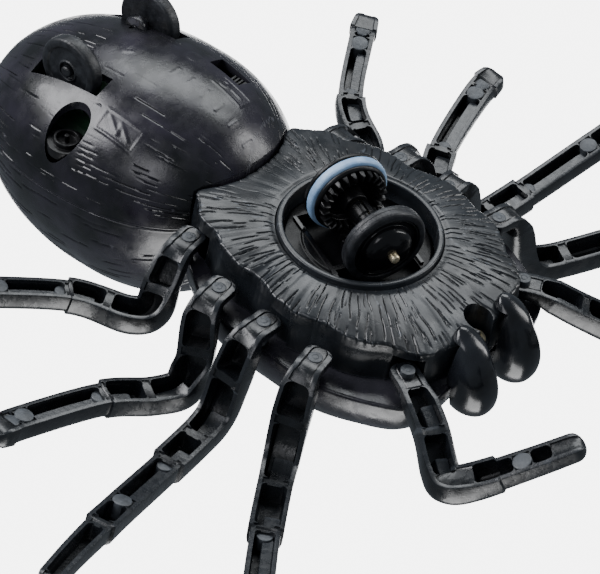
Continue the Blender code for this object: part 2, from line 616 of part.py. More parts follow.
def turret():
    prof = [(0, 16.0), (DISC_R, 16.0), (DISC_R, 17.8), (17.3, 17.8), (17.3, 18.8), (0, 18.8)]
    disc = to_object("turret_disc", lathe(prof, (0, 0, 0), (0, 0, 1), 40), GLOSS)
    rot = Matrix.Rotation(AXLE_DIR, 3, "Z")
    steps = [("DIFFERENCE", cutter(box((-10.9, -8.6, 10), (13.0, 8.6, 25), rot, (0, 0, 0)))),
             ("UNION", cutter(box((4.9, -8.9, 16.2), (6.1, 8.9, 18.6), rot, (0, 0, 0)))),
             ("UNION", cutter(box((4.95, -3.2, AXLE_Z + 0.5), (6.05, 3.2, 17.4), rot, (0, 0, 0)))),
             ("UNION", cutter(lathe([(0, -2.4), (2.35, -2.4), (2.35, 6.1), (0, 6.1)], on_axle(0), AX, 16))),
             ("DIFFERENCE", cutter(cylinder(1.06, on_axle(-6), AX, 20, 14)))]
    boolean(disc, steps, "MANIFOLD")

    # wheel A: hub with a crown gear on its inner face, pale tyre round it
    hub = [(1.0, -9.6), (3.2, -9.6), (3.2, -9.2), (8.4, -9.2), (8.4, -8.2), (7.6, -8.0), (7.6, -4.8),
           (5.4, -4.8), (5.4, -6.4), (2.6, -6.4), (2.6, -2.9), (1.0, -2.9)]
    a = to_object("drive_wheel_hub", lathe(hub, on_axle(0), AX, 24), DARK, origin=on_axle(-7))
    steps = []
    for k in range(CROWN_N):
        th = 2 * PI * (k + 0.5) / CROWN_N
        ur = Vector((0, 0, 1)) * math.cos(th) + EX * math.sin(th)
        ut = AX.cross(ur)
        ring = []
        for s, w in ((-5.4, 0.50), (-4.75, 0.44), (-3.3, 0.22)):
            c = on_axle(s)
            ring.append([c + ur * r + ut * (sg * w * r / CROWN_R) for r, sg in
                         ((5.7, -1), (7.5, -1), (7.5, 1), (5.7, 1))])
        steps.append(("UNION", cutter(ring_loft(ring))))
    boolean(a, steps, "MANIFOLD")
    tyre = [(7.75, -8.0), (8.55, -8.05), (9.0, -7.6), (9.0, -6.2), (8.7, -5.6), (7.75, -5.3)]
    to_object("drive_wheel_tyre", lathe(tyre, on_axle(0), AX, 28), TYRE, origin=on_axle(-7))
    # metal axle, pressed into wheel A, running through the boss and wheel B
    pin = [(0, -9.3), (0.98, -9.3), (0.98, 13.9), (0.7, 14.2), (0, 14.2)]
    to_object("drive_axle", lathe(pin, on_axle(0), AX, 14), METAL, origin=on_axle(-7))

    # wheel B: dark hub with a low dome, black rubber tyre
    hub = [(1.06, 7.0), (2.4, 7.0), (2.4, 7.6), (7.3, 7.6), (7.3, 10.2), (6.7, 10.5),
           (6.3, 9.9), (5.4, 9.9), (5.2, 11.3), (4.4, 12.1), (2.6, 12.6), (1.06, 12.75)]
    to_object("free_wheel_hub", lathe(hub, on_axle(0), AX, 20), GLOSS, origin=on_axle(9))
    tyre = [(7.4, 7.3), (8.5, 7.3), (9.0, 7.8), (9.0, 9.8), (8.6, 10.4), (7.4, 10.5)]
    to_object("free_wheel_tyre", lathe(tyre, on_axle(0), AX, 28), RUBBER, origin=on_axle(9))

    # pinion on the turret's own axis, in mesh with the crown gear
    pts0 = []
    for k in range(PINION_N):
        mid = PI + 2 * PI * k / PINION_N
        for da, r in ((-0.5, 2.6), (-0.28, 2.6), (-0.12, 3.9), (0.12, 3.9), (0.28, 2.6)):
            th = mid + da * 2 * PI / PINION_N
            v = AX * math.cos(th) + EX * math.sin(th)
            pts0.append((v.x * r, v.y * r))
    pin = to_object("drive_pinion", ring_loft([[(x, y, z) for x, y in pts0] for z in (15.0, 17.0)]), CASE)
    boolean(pin, [("UNION", cutter(cylinder(1.2, (0, 0, 16.0), (0, 0, 1), 11, 16)))])


# -------------------------------------------------------- wheels, fittings
def rear_wheels():
    for s, nm in ((1, "left"), (-1, "right")):
        c = Vector((s * RW_X, RW_Y, RW_R))
        ax = Vector((s, 0, 0))
        h = RW_W / 2
        prof = [(1.0, -h), (7.0, -h), (RW_R, -h + 0.5), (RW_R, h - 0.5), (7.0, h), (6.0, h), (5.4, h - 0.5),
                (2.2, h - 0.5), (2.0, h), (1.0, h)]
        to_object("rear_wheel_" + nm, lathe(prof, c, ax, 24), RUBBER, origin=c)
        pin = [(0, -5.2), (0.92, -5.2), (0.92, h + 0.12), (1.5, h + 0.12), (1.5, h + 0.6), (0, h + 0.7)]
        to_object("rear_pin_" + nm, lathe(pin, c, ax, 12), METAL)


def fangs():
    for s, nm in ((1, "left"), (-1, "right")):
        rows = []
        data = [(12.9, 6.9, -32.2, 0.5, 0.6), (13.4, 6.9, -32.6, 1.6, 1.5), (14.8, 7.0, -33.7, 2.9, 3.0),
                (16.6, 7.0, -34.6, 3.6, 4.0), (19.2, 7.1, -35.4, 4.2, 4.7),
                (22.0, 7.2, -36.2, 4.7, 5.6), (25.0, 7.2, -36.8, 4.8, 5.9),
                (28.0, 7.1, -37.0, 4.5, 5.6), (30.4, 7.0, -36.9, 3.6, 4.7), (32.0, 6.9, -36.7, 2.0, 2.9),
                (32.5, 6.9, -36.6, 0.6, 0.9)]
        for z, x, y, rx, ry in data:
            rows.append([(s * (x + rx * math.cos(t)), y + ry * math.sin(t), z)
                         for t in (2 * PI * k / 14 for k in range(14))])
        ob = to_object("fang_" + nm, ring_loft(rows), GLOSS)
        boolean(ob, [("DIFFERENCE", cutter(outline_prism(PLATE, 1.85, 14.75, 26.0, 80))),
                     ("DIFFERENCE", cutter(outline_prism(BACK, 0.35, SEAM_Z, 40.0, 56)))])


def fittings():
    # front screw with a cross recess, head towards the belly
    prof = [(0, 20.2), (1.6, 20.1), (2.45, 20.5), (2.5, 21.25), (1.25, 21.3), (1.25, 23.5), (0, 24.1)]
    sc = to_object("front_screw", lathe(prof, (0, -31.2, 0), (0, 0, 1), 16), METAL)
    rot = Matrix.Rotation(math.radians(35), 3, "Z")
    c = (0, -31.2, 20)
    boolean(sc, [("DIFFERENCE", cutter(box((-1.5, -31.5, 19), (1.5, -30.9, 20.9), rot, c))),
                 ("DIFFERENCE", cutter(box((-0.3, -32.7, 19), (0.3, -29.7, 20.9), rot, c)))])
    # charging socket at the bottom of the well
    prof = [(0, 15.6), (0.55, 15.6), (0.55, 17.4), (2.2, 17.4), (2.2, 16.2), (2.8, 16.2),
            (2.8, 17.4), (4.1, 17.4), (4.1, 19.5), (0, 19.5)]
    to_object("charging_socket", lathe(prof, (21.3, 61.6, 0), (0, 0, 1), 16), DARK)
    # switch knob, seen through its slot
    knob = bevelled(box((-13.1, 42.5, 8.2), (-9.7, 45.9, 14.2)), 0.35)
    kb = to_object("switch_knob", knob, DARK, origin=(-11.4, 44.2, 10.0))
    boolean(kb, [("DIFFERENCE", cutter(box((-14, 43.55, 7.6), (-9, 43.95, 8.7)))),
                 ("DIFFERENCE", cutter(box((-14, 44.45, 7.6), (-9, 44.85, 8.7))))])
    to_object("circuit_board", bevelled(box((-17, 38.5, 15.2), (12, 58, 16.8)), 0.3, 1), BOARD)
    for s, nm in ((1, "left"), (-1, "right")):
        prof = [(0, 0), (6.6, 0), (6.9, 0.3), (6.9, 42.7), (6.6, 43), (2.6, 43), (2.5, 44.2), (0, 44.2)]
        to_object("battery_cell_" + nm, lathe(prof, (s * 7.2, 38.0, 32.5), (0, 1, 0), 18), CELL)
    # plate that keeps the turret in its rim and carries the gearbox
    pl = outline_prism(PLATE, -4.2, 19.4, 20.5, 40)
    chassis = to_object("chassis_plate", pl, CASE)
    boolean(chassis, [("DIFFERENCE", cutter(cylinder(1.6, (0, 0, 15), (0, 0, 1), 10, 16))),
                      ("DIFFERENCE", cutter(cylinder(6.0, (0, -29.8, 15), (0, 0, 1), 10, 20)))])
    gb = to_object("gearbox_case", bevelled(box((-9, -9, 20.8), (9, 4.5, 32)), 0.8), CASE)
    boolean(gb, [("DIFFERENCE", cutter(cylinder(1.3, (0, 0, 15), (0, 0, 1), 13, 16)))])
    prof = [(0, 0), (5.6, 0), (6.1, 0.5), (6.1, 17.5), (5.6, 18), (2.0, 18), (2.0, 19), (0, 19)]
    to_object("motor_can", lathe(prof, (0, 4.8, 27.4), (0, 1, 0), 16), METAL)
    for s, nm in ((1, "left"), (-1, "right")):
        d = Vector((s * 0.30, -0.86, 0.42)).normalized()
        prof = [(0, 2.2), (2.0, 2.2), (2.0, 4.0), (1.75, 4.9), (1.0, 5.6), (0, 5.8)]
        eye = to_object("eye_" + nm, lathe(prof, (s * 6.0, -26.5, 33.2), d, 16), EYE)
        rows = dome_rings(BACK, 40, -GAP, SEAM_Z, CARA_TOP + GAP, 7)
        boolean(eye, [("DIFFERENCE", cutter(ring_loft(rows)))], "MANIFOLD")


thorax_lower()
thorax_back()
abdomen()
legs()
turret()
rear_wheels()
fangs()
fittings()

# the whole toy is moved so the origin is in the middle of its footprint
for ob in bpy.data.objects:
    ob.location.y -= MID_Y * MM
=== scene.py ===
"""Looks of the toy spider: finer pieces over the CAD frame, moulded black plastic,
rubber and metal, seen from under the belly."""
import bpy
import bmesh
import json
import math
import numpy as np
from mathutils import Matrix, Vector

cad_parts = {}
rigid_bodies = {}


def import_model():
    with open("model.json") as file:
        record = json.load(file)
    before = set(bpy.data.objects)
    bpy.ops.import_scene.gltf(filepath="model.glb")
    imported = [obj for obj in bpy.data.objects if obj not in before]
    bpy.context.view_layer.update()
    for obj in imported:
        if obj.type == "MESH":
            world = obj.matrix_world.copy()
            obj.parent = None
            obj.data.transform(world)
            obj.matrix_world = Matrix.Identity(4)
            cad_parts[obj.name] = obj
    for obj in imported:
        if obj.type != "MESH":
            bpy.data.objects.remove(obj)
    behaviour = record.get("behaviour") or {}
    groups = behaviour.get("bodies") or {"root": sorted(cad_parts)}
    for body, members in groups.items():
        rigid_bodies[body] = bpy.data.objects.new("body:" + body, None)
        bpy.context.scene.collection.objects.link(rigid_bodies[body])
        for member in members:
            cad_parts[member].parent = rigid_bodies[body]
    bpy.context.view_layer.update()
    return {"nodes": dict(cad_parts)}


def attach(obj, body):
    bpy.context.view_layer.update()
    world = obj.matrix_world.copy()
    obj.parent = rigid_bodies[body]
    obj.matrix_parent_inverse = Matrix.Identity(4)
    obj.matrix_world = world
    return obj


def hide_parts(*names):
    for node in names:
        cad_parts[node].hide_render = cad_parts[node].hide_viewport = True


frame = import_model()

MM = 0.001
Y0 = -14.166                  # the turret's axis in y, mm; shapes below are measured from it
PI = math.pi

# sizes shared with the CAD part, mm
RIM_Z, RIM_R, RING_R, SEAM_Z, CARA_TOP, WALL = 12.2, 16.0, 17.7, 24.2, 43.5, 1.5
PLATE = [(0, 27.2), (5.5, 27.6), (10.5, 29.2), (14.6, 31.2), (17.6, 28.4), (20.4, 25.2),
         (21.2, 20.6), (23.8, 16.2), (25.0, 11.0), (24.9, 6.0), (26.6, 0.6), (26.9, -5.4),
         (25.2, -10.6), (24.6, -15.6), (22.6, -20.2), (19.8, -23.6), (18.0, -27.6),
         (15.2, -30.6), (10.8, -31.8), (5.5, -33.2), (0, -33.6)]
BACK = [(0, 27.4), (8, 28.6), (15.5, 31.6), (20.6, 28.6), (24.8, 23.0), (28.6, 17.0),
        (31.0, 11.0), (31.6, 3.0), (31.7, -6.0), (31.6, -14.2), (29.6, -21.0), (26.4, -27.5),
        (22.8, -32.6), (17.0, -35.0), (9.0, -34.6), (0, -34.0)]
AB_C, AB_AX, AB_AY, AB_DOWN, AB_UP = (0.0, 59.8, 27.0), 27.15, 35.6, 22.55, 33.0
AB_P, AB_K, AB_TILT, AB_WALL = 2.26, -0.03, math.radians(6.5), 1.7
AXLE_DIR, AXLE_Z = math.atan2(-0.921, 0.391), 9.0
AX = Vector((math.cos(AXLE_DIR), math.sin(AXLE_DIR), 0))
EX = Vector((-AX.y, AX.x, 0))
RW_X, RW_Y, RW_R, RW_WIDTH = 12.3, 69.5, 7.5, 3.4
LEGS = {
    "leg_1": dict(path=[(23.0, 25.7, 20.0), (26.6, 25.3, 20.4), (30.7, 24.6, 25.2), (34.5, 23.4, 30.4),
                        (38.6, 26.4, 31.6), (45.0, 36.5, 29.4), (59.6, 46.0, 25.4), (66.4, 49.6, 23.2)],
                  a=36.0, b=51.0, foot=True),
    "leg_2": dict(path=[(29.6, 11.8, 20.0), (33.2, 11.4, 20.4), (35.4, 10.7, 24.6), (37.6, 9.2, 32.6),
                        (40.6, 8.9, 38.2), (46.4, 12.2, 39.2), (56.2, 17.4, 37.1), (74.3, 22.2, 34.4),
                        (82.4, 22.4, 32.0)],
                  a=41.5, b=60.5, foot=True),
    "leg_3": dict(path=[(30.3, -0.7, 20.0), (33.9, -0.6, 20.3), (36.0, -0.5, 24.6), (38.0, -0.4, 31.4),
                        (40.9, -0.7, 37.4), (46.4, -1.5, 39.0), (60.7, -3.6, 37.6), (78.8, -7.4, 32.6),
                        (95.0, -11.4, 27.6), (109.0, -15.4, 23.4)],
                  a=42.0, b=61.0, foot=False),
    "leg_4": dict(path=[(30.4, -14.2, 20.0), (33.9, -14.9, 20.3), (36.0, -15.5, 24.6), (38.0, -16.1, 31.2),
                        (41.2, -17.7, 36.6), (47.0, -21.0, 37.8), (63.0, -31.0, 34.2), (77.0, -40.5, 30.8),
                        (92.0, -50.5, 26.4)],
                  a=47.0, b=64.5, foot=False),
}
PALP = dict(path=[(19.4, -29.0, 21.0), (21.4, -32.8, 21.4), (25.2, -40.2, 24.0), (29.6, -46.4, 27.0),
                  (30.6, -49.6, 27.6), (28.0, -53.4, 26.0), (20.0, -60.8, 20.4), (12.2, -67.2, 15.4)],
            elbow=24.5, b=40.5)
PEG_R = 1.5
SOCKET_X, SOCKET_Y, SCREW_Y = 21.3, 61.6, -31.2
DOME_Z, DOME_P, DOME_LEAN = SEAM_Z + 0.3, 2 / 2.4, 1.5     # the back shell's dome: foot, power, lean
NOTCH_IN, NOTCH_OUT, NOTCH_HALF = 3.6, 8, 3.9              # pockets for the leg roots
CROWN_TEETH, PINION_TEETH = 24, 12
VERTICAL, ACROSS = (0, 0, 1), (1, 0, 0)
SIDES = ((1, "left", "l"), (-1, "right", "r"))
SKIN_SHARP, HUB_SHARP, POST_SHARP = 50, 32, 40             # degrees, edges above stay sharp


# ------------------------------------------------------- noise and curves
def hash01(i, j, seed):
    """Repeatable 0..1 value for whole-number arrays."""
    i = np.asarray(i).astype(np.int64)
    j = np.asarray(j).astype(np.int64)
    n = (i * 374761393 + j * 668265263 + seed * 1442695041) & 0xffffffff
    n = ((n ^ (n >> 13)) * 1274126177) & 0xffffffff
    n = (n ^ (n >> 16)) & 0xffffffff
    return (n & 0xffff) / 65535.0


def smooth01(x):
    x = np.clip(x, 0.0, 1.0)
    return x * x * (3 - 2 * x)


def wave(x, y, seed):
    """Smooth noise -1..1 over a plane, one cell per unit."""
    i, j = np.floor(x), np.floor(y)
    fx, fy = smooth01(x - i), smooth01(y - j)
    a = hash01(i, j, seed) * (1 - fx) + hash01(i + 1, j, seed) * fx
    b = hash01(i, j + 1, seed) * (1 - fx) + hash01(i + 1, j + 1, seed) * fx
    return (a * (1 - fy) + b * fy) * 2 - 1


def dashes(s, k, width, period, seed, fill=0.8, lo=0.35, hi=0.85):
    """Engraved strokes. s runs along them in mm, k counts the strips across,
    width is a stroke's width in strips. Gives depth 0..1."""
    out = np.zeros_like(s)
    k0 = np.floor(k)
    for dk in (-1, 0, 1):
        kk = k0 + dk
        c = kk + 0.5 + 0.5 * (hash01(kk, kk * 0 + 7, seed) - 0.5)
        ss = s / period + hash01(kk, kk * 0, seed + 1) * 7.0
        m = np.floor(ss)
        f = ss - m
        a = 0.25 * hash01(kk, m, seed + 2)
        ln = lo + (hi - lo) * hash01(kk, m, seed + 3)
        on = hash01(kk, m, seed + 4) < fill
        slant = (hash01(kk, m, seed + 5) - 0.5) * 0.35
        bend = 0.06 * np.sin(f * 8 + hash01(kk, m, seed + 6) * 6)
        d = np.abs(k - c - slant * (f - 0.5) - bend) / (width * 0.5)
        ends = smooth01((f - a) / 0.06) * smooth01((a + ln - f) / 0.10)
        deep = 0.55 + 0.45 * hash01(kk, m, seed + 8)
        out = np.maximum(out, np.where(on, ends * deep * smooth01(1.25 - d), 0))
    return out


def spline(p0, p1, p2, p3, f):
    """Catmull-Rom curve between p1 and p2, f 0..1."""
    return 0.5 * ((2 * p1) + (p2 - p0) * f + (2 * p0 - 5 * p1 + 4 * p2 - p3) * f * f
                  + (3 * p1 - p0 - 3 * p2 + p3) * f * f * f)


# ---------------------------------------------------------------- meshes
class Shape:
    """Vertices and faces in millimetres, gathered from grids."""

    def __init__(self):
        self.v, self.f, self.n = [], [], 0

    def grid(self, P, cu=False, cv=False):
        P = np.asarray(P, float)
        nu, nv = P.shape[:2]
        idx = np.arange(nu * nv).reshape(nu, nv) + self.n
        full = np.vstack([idx, idx[:1]]) if cu else idx
        full = np.hstack([full, full[:, :1]]) if cv else full
        q = np.stack([full[:-1, :-1], full[1:, :-1], full[1:, 1:], full[:-1, 1:]], -1)
        self.f += q.reshape(-1, 4).tolist()
        self.v.append(P.reshape(-1, 3))
        self.n += nu * nv
        return idx

    def cap(self, ids, centre):
        self.v.append(np.array([centre], float))
        ids = [int(i) for i in ids]
        for a, b in zip(ids, ids[1:] + ids[:1]):
            self.f.append([a, b, self.n])
        self.n += 1

    def cap_ends(self, idx):
        """Closes the first and last row of a grid at their middles."""
        for row in (idx[0], idx[-1]):
            self.cap(row, np.concatenate(self.v)[row].mean(0))

    def turned(self, profile, origin, axis, n=64):
        """Adds a turned solid; profile is (radius, distance along the axis)."""
        a = Vector(axis).normalized()
        h = Vector((0, 0, 1)) if abs(a.z) < 0.9 else Vector((1, 0, 0))
        u = a.cross(h).normalized()
        w = u.cross(a)
        a, u, w, o = (np.array(q) for q in (a, u, w, Vector(origin)))
        t = 2 * PI * np.arange(n) / n
        ring = np.outer(np.cos(t), u) + np.outer(np.sin(t), w)
        solid = profile[0][0] < 1e-6
        rows = profile[1:-1] if solid else profile
        P = np.array([o + a * s + ring * r for r, s in rows])
        idx = self.grid(P, cu=not solid, cv=True)
        if solid:
            self.cap(idx[0], o + a * profile[0][1])
            self.cap(idx[-1], o + a * profile[-1][1])


def soften(profile, r=0.2, k=3):
    """Rounds the corners of an open or closed turned profile."""
    solid = profile[0][0] < 1e-6
    pts = [Vector((p[0], p[1])) for p in profile]
    out = []
    n = len(pts)
    for i, p in enumerate(pts):
        if solid and i in (0, n - 1):
            out.append((p.x, p.y))
            continue
        a, b = pts[i - 1] - p, pts[(i + 1) % n] - p
        d = min(r, a.length * 0.45, b.length * 0.45)
        if d < 0.02 or a.angle(b, PI) > 2.9:
            out.append((p.x, p.y))
            continue
        p0, p2 = p + a.normalized() * d, p + b.normalized() * d
        for j in range(k + 1):
            f = j / k
            q = p0 * (1 - f) ** 2 + p * 2 * f * (1 - f) + p2 * f ** 2
            out.append((q.x, q.y))
    return out


def lathe(profile, origin, axis, n=64, r=0.0):
    """A turned solid as a Shape, its corners rounded by r."""
    sh = Shape()
    sh.turned(soften(profile, r) if r else profile, origin, axis, n)
    return sh


def build(name, shape, mat, body, nodes=(), sharp=38):
    """Makes a Blender object of a Shape and hides the CAD nodes it replaces."""
    V = np.concatenate(shape.v) * MM
    V[:, 1] += Y0 * MM
    me = bpy.data.meshes.new(name)
    me.from_pydata(V.tolist(), [], shape.f)
    bm = bmesh.new()
    bm.from_mesh(me)
    bmesh.ops.remove_doubles(bm, verts=bm.verts, dist=2e-6)
    bmesh.ops.recalc_face_normals(bm, faces=bm.faces)
    bm.to_mesh(me)
    bm.free()
    me.shade_smooth()
    me.set_sharp_from_angle(angle=math.radians(sharp))
    ob = bpy.data.objects.new(name, me)
    bpy.context.scene.collection.objects.link(ob)
    me.materials.append(mat)
    if body:
        if nodes:
            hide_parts(*nodes)
    ob["body"] = body or ""
    return ob


def ride_all():
    for ob in list(bpy.data.objects):
        if ob.get("body"):
            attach(ob, ob["body"])


def cut(ob, steps, sharp=38):
    """steps: (operation, Shape); the result is baked into ob."""
    tools = []
    for op, sh in steps:
        t = build("tool", sh, ob.data.materials[0], None)
        md = ob.modifiers.new(op, "BOOLEAN")
        md.operation, md.solver, md.object = op, "MANIFOLD", t
        tools.append(t)
    bpy.context.view_layer.update()
    dg = bpy.context.evaluated_depsgraph_get()
    me = bpy.data.meshes.new_from_object(ob.evaluated_get(dg))
    ob.modifiers.clear()
    old = ob.data
    mat = old.materials[0]
    ob.data = me
    bpy.data.meshes.remove(old)
    me.materials.clear()
    me.materials.append(mat)
    me.shade_smooth()
    me.set_sharp_from_angle(angle=math.radians(sharp))
    for t in tools:
        bpy.data.objects.remove(t, do_unlink=True)


def block(lo, hi, rot=0.0, centre=(0, 0, 0)):
    """A box as a Shape, turned by rot about the vertical through centre."""
    sh = Shape()
    lo, hi = np.array(lo, float), np.array(hi, float)
    m = Matrix.Rotation(rot, 3, "Z")
    c = Vector(centre)
    v = []
    for z in (lo[2], hi[2]):
        for x, y in ((lo[0], lo[1]), (hi[0], lo[1]), (hi[0], hi[1]), (lo[0], hi[1])):
            v.append(list(m @ (Vector((x, y, z)) - c) + c))
    sh.v.append(np.array(v))
    sh.f += [[3, 2, 1, 0], [4, 5, 6, 7], [0, 1, 5, 4], [1, 2, 6, 5], [2, 3, 7, 6], [3, 0, 4, 7]]
    sh.n = 8
    return sh


def rod(r, p0, axis, length, n=48):
    return lathe([(0, 0), (r, 0), (r, length), (0, length)], p0, axis, n)


def paint(ob, name, fn):
    """Stores fn(x, y, z in mm) as a point attribute for the material; here it is the depth of engraved strokes,
    which the material paints as shade in the grooves.
    """
    me = ob.data
    co = np.empty(len(me.vertices) * 3)
    me.vertices.foreach_get("co", co)
    co = co.reshape(-1, 3) / MM
    co[:, 1] -= Y0
    at = me.attributes.new(name, "FLOAT", "POINT")
    at.data.foreach_set("value", fn(co[:, 0], co[:, 1], co[:, 2]).astype(np.float32))


# -------------------------------------------------------------- materials
def material(name, dark, light, rough, rough_var=0.08, scale=160.0, grain=0.25, grain_scale=2600.0,
             metal=0.0, spec=0.5, coat=0.0, shade_attr=None, groove_shade_colour=None, edge_highlight=None, ior=1.5):
    m = bpy.data.materials.new(name)
    m.use_nodes = True
    nt = m.node_tree
    nd, ln = nt.nodes, nt.links
    b = nd["Principled BSDF"]
    b.inputs["Metallic"].default_value = metal
    b.inputs["IOR"].default_value = ior
    b.inputs["Specular IOR Level"].default_value = spec
    b.inputs["Coat Weight"].default_value = coat
    b.inputs["Coat Roughness"].default_value = 0.12
    tc = nd.new("ShaderNodeTexCoord")

    def noise(sc, detail=3.0, rough_=0.55):
        n = nd.new("ShaderNodeTexNoise")
        n.inputs["Scale"].default_value = sc
        n.inputs["Detail"].default_value = detail
        n.inputs["Roughness"].default_value = rough_
        ln.new(tc.outputs["Object"], n.inputs["Vector"])
        return n

    big, small = noise(scale), noise(grain_scale, 2.0)
    ramp = nd.new("ShaderNodeValToRGB")
    ramp.color_ramp.elements[0].position, ramp.color_ramp.elements[1].position = 0.35, 0.68
    ramp.color_ramp.elements[0].color = (*dark, 1)
    ramp.color_ramp.elements[1].color = (*light, 1)
    ln.new(big.outputs["Fac"], ramp.inputs["Fac"])
    colour = ramp.outputs["Color"]
    rmap = nd.new("ShaderNodeMapRange")
    rmap.inputs["From Min"].default_value, rmap.inputs["From Max"].default_value = 0.3, 0.7
    rmap.inputs["To Min"].default_value = max(0.02, rough - rough_var)
    rmap.inputs["To Max"].default_value = rough + rough_var
    mid = noise(scale * 3.1, 4.0)
    ln.new(mid.outputs["Fac"], rmap.inputs["Value"])
    ln.new(rmap.outputs["Result"], b.inputs["Roughness"])
    # darkens the colour by the named attribute, the depth of the engraved strokes: painted shade in the grooves
    if shade_attr:
        at = nd.new("ShaderNodeAttribute")
        at.attribute_name = shade_attr
        mix = nd.new("ShaderNodeMix")
        mix.data_type = "RGBA"
        ln.new(at.outputs["Fac"], mix.inputs["Factor"])
        ln.new(colour, mix.inputs["A"])
        mix.inputs["B"].default_value = (*groove_shade_colour, 1)
        colour = mix.outputs["Result"]
    # lighter bluish grey on sharp convex edges, found by pointiness: a painted edge highlight
    if edge_highlight:
        geo = nd.new("ShaderNodeNewGeometry")
        edge_highlight_mask = nd.new("ShaderNodeMapRange")
        edge_highlight_mask.inputs["From Min"].default_value, edge_highlight_mask.inputs["From Max"].default_value = 0.53, 0.62
        ln.new(geo.outputs["Pointiness"], edge_highlight_mask.inputs["Value"])
        edge_highlight_mix = nd.new("ShaderNodeMix")
        edge_highlight_mix.data_type = "RGBA"
        ln.new(edge_highlight_mask.outputs["Result"], edge_highlight_mix.inputs["Factor"])
        ln.new(colour, edge_highlight_mix.inputs["A"])
        edge_highlight_mix.inputs["B"].default_value = (*edge_highlight, 1)
        colour = edge_highlight_mix.outputs["Result"]
    ln.new(colour, b.inputs["Base Color"])
    bump = nd.new("ShaderNodeBump")
    bump.inputs["Strength"].default_value = grain
    bump.inputs["Distance"].default_value = 0.00004
    ln.new(small.outputs["Fac"], bump.inputs["Height"])
    wob = nd.new("ShaderNodeBump")
    wob.inputs["Strength"].default_value = grain * 0.8
    wob.inputs["Distance"].default_value = 0.00025
    ln.new(mid.outputs["Fac"], wob.inputs["Height"])
    ln.new(bump.outputs["Normal"], wob.inputs["Normal"])
    ln.new(wob.outputs["Normal"], b.inputs["Normal"])
    m.diffuse_color = (*light, 1)
    return m


# the groove attribute darkens the engraved strokes with painted shade, and the last colour is a painted
# highlight on sharp convex edges
SHELL = material("moulded_shell", (0.0026, 0.0030, 0.0038), (0.017, 0.0150, 0.023), 0.26, 0.09, 95, 0.34,
                 shade_attr="groove_painted_shade", groove_shade_colour=(0.001, 0.001, 0.0012), edge_highlight=(0.05, 0.05, 0.06))
PLATE_M = material("moulded_plate", (0.0045, 0.0055, 0.007), (0.014, 0.017, 0.021), 0.31, 0.08, 80, 0.30,
                   shade_attr="groove_painted_shade", groove_shade_colour=(0.001, 0.001, 0.0012), edge_highlight=(0.040, 0.046, 0.055))
LEG_M = material("moulded_leg", (0.003, 0.0036, 0.0045), (0.008, 0.0095, 0.012), 0.28, 0.08, 200, 0.35,
                 edge_highlight=(0.026, 0.030, 0.036))
PEG_M = material("peg_end", (0.024, 0.028, 0.033), (0.050, 0.057, 0.066), 0.45, 0.06, 500, 0.5)
GLOSS = material("polished_black", (0.002, 0.002, 0.0025), (0.004, 0.004, 0.005), 0.16, 0.05, 120, 0.12,
                 spec=0.35)
DISH_M = material("satin_dish", (0.0012, 0.0013, 0.0016), (0.003, 0.003, 0.0036), 0.24, 0.06, 150, 0.15,
                  spec=0.14)
# the last colour is a painted highlight on the fangs' sharp convex edges
FANG_M = material("polished_fang", (0.003, 0.0034, 0.0045), (0.012, 0.014, 0.018), 0.20, 0.07, 110, 0.22,
                  edge_highlight=(0.024, 0.027, 0.032))
INNER = material("inner_black", (0.002, 0.002, 0.0025), (0.0045, 0.0045, 0.005), 0.36, 0.08, 300, 0.3,
                 spec=0.3)
RUBBER = material("wheel_rubber", (0.005, 0.0055, 0.007), (0.020, 0.022, 0.026), 0.42, 0.10, 420, 0.6,
                  spec=0.4)
TYRE = material("pale_tyre", (0.20, 0.33, 0.52), (0.36, 0.52, 0.73), 0.40, 0.06, 260, 0.35)
ZINC = material("zinc_steel", (0.55, 0.45, 0.28), (0.85, 0.76, 0.56), 0.30, 0.08, 900, 0.5, metal=0.8)
# the screw's colour is close to the zinc's but brighter and less metallic, so it shows inside its shadowed
# recess: painted light over a brass-like metal
SCREW_BRIGHTENED_M = material("screw_brass_brightened", (0.62, 0.50, 0.30), (0.90, 0.80, 0.58), 0.33, 0.08, 900, 0.5, metal=0.35)
BOARD = material("solder_mask", (0.004, 0.03, 0.014), (0.008, 0.06, 0.03), 0.4, 0.05, 600, 0.3)
WRAP = material("cell_wrap", (0.02, 0.06, 0.03), (0.035, 0.10, 0.055), 0.35, 0.05, 90, 0.2)
EYE = material("eye_red", (0.20, 0.010, 0.008), (0.42, 0.03, 0.02), 0.08, 0.03, 500, 0.05, coat=0.6)
CASE = material("case_grey", (0.0015, 0.0015, 0.002), (0.004, 0.004, 0.005), 0.5, 0.06, 300, 0.4, spec=0.12)


# ------------------------------------------------------------ plan outlines
def radial(half, n, offset=0.0):
    """n points of a closed plan outline at equal angles round the origin, from +Y."""
    ring = list(half) + [(-x, y) for x, y in reversed(half[1:-1])]
    poly = np.array(ring, float)
    fine = []
    for f in (0.0, 0.25, 0.5, 0.75):
        p0, p1, p2, p3 = np.roll(poly, 1, 0), poly, np.roll(poly, -1, 0), np.roll(poly, -2, 0)
        fine.append(spline(p0, p1, p2, p3, f))
    fine = np.stack(fine, 1).reshape(-1, 2)
    ang = np.unwrap(np.arctan2(fine[:, 0], fine[:, 1]))
    ang -= 2 * PI * np.floor(ang[0] / (2 * PI) + 0.5)
    r = np.hypot(fine[:, 0], fine[:, 1])
    th = 2 * PI * np.arange(n) / n
    rr = np.interp(th, np.r_[ang - 2 * PI, ang, ang + 2 * PI], np.r_[r, r, r]) + offset
    return np.stack([rr * np.sin(th), rr * np.cos(th)], 1), th, rr


def prism(half, offset, z0, z1, n=144):
    p, _, _ = radial(half, n, offset)
    sh = Shape()
    P = np.array([np.c_[p, np.full(n, z)] for z in (z0, z1)])
    idx = sh.grid(P, cv=True)
    sh.cap(idx[0], (0, 0, z0))
    sh.cap(idx[1], (0, 0, z1))
    return sh


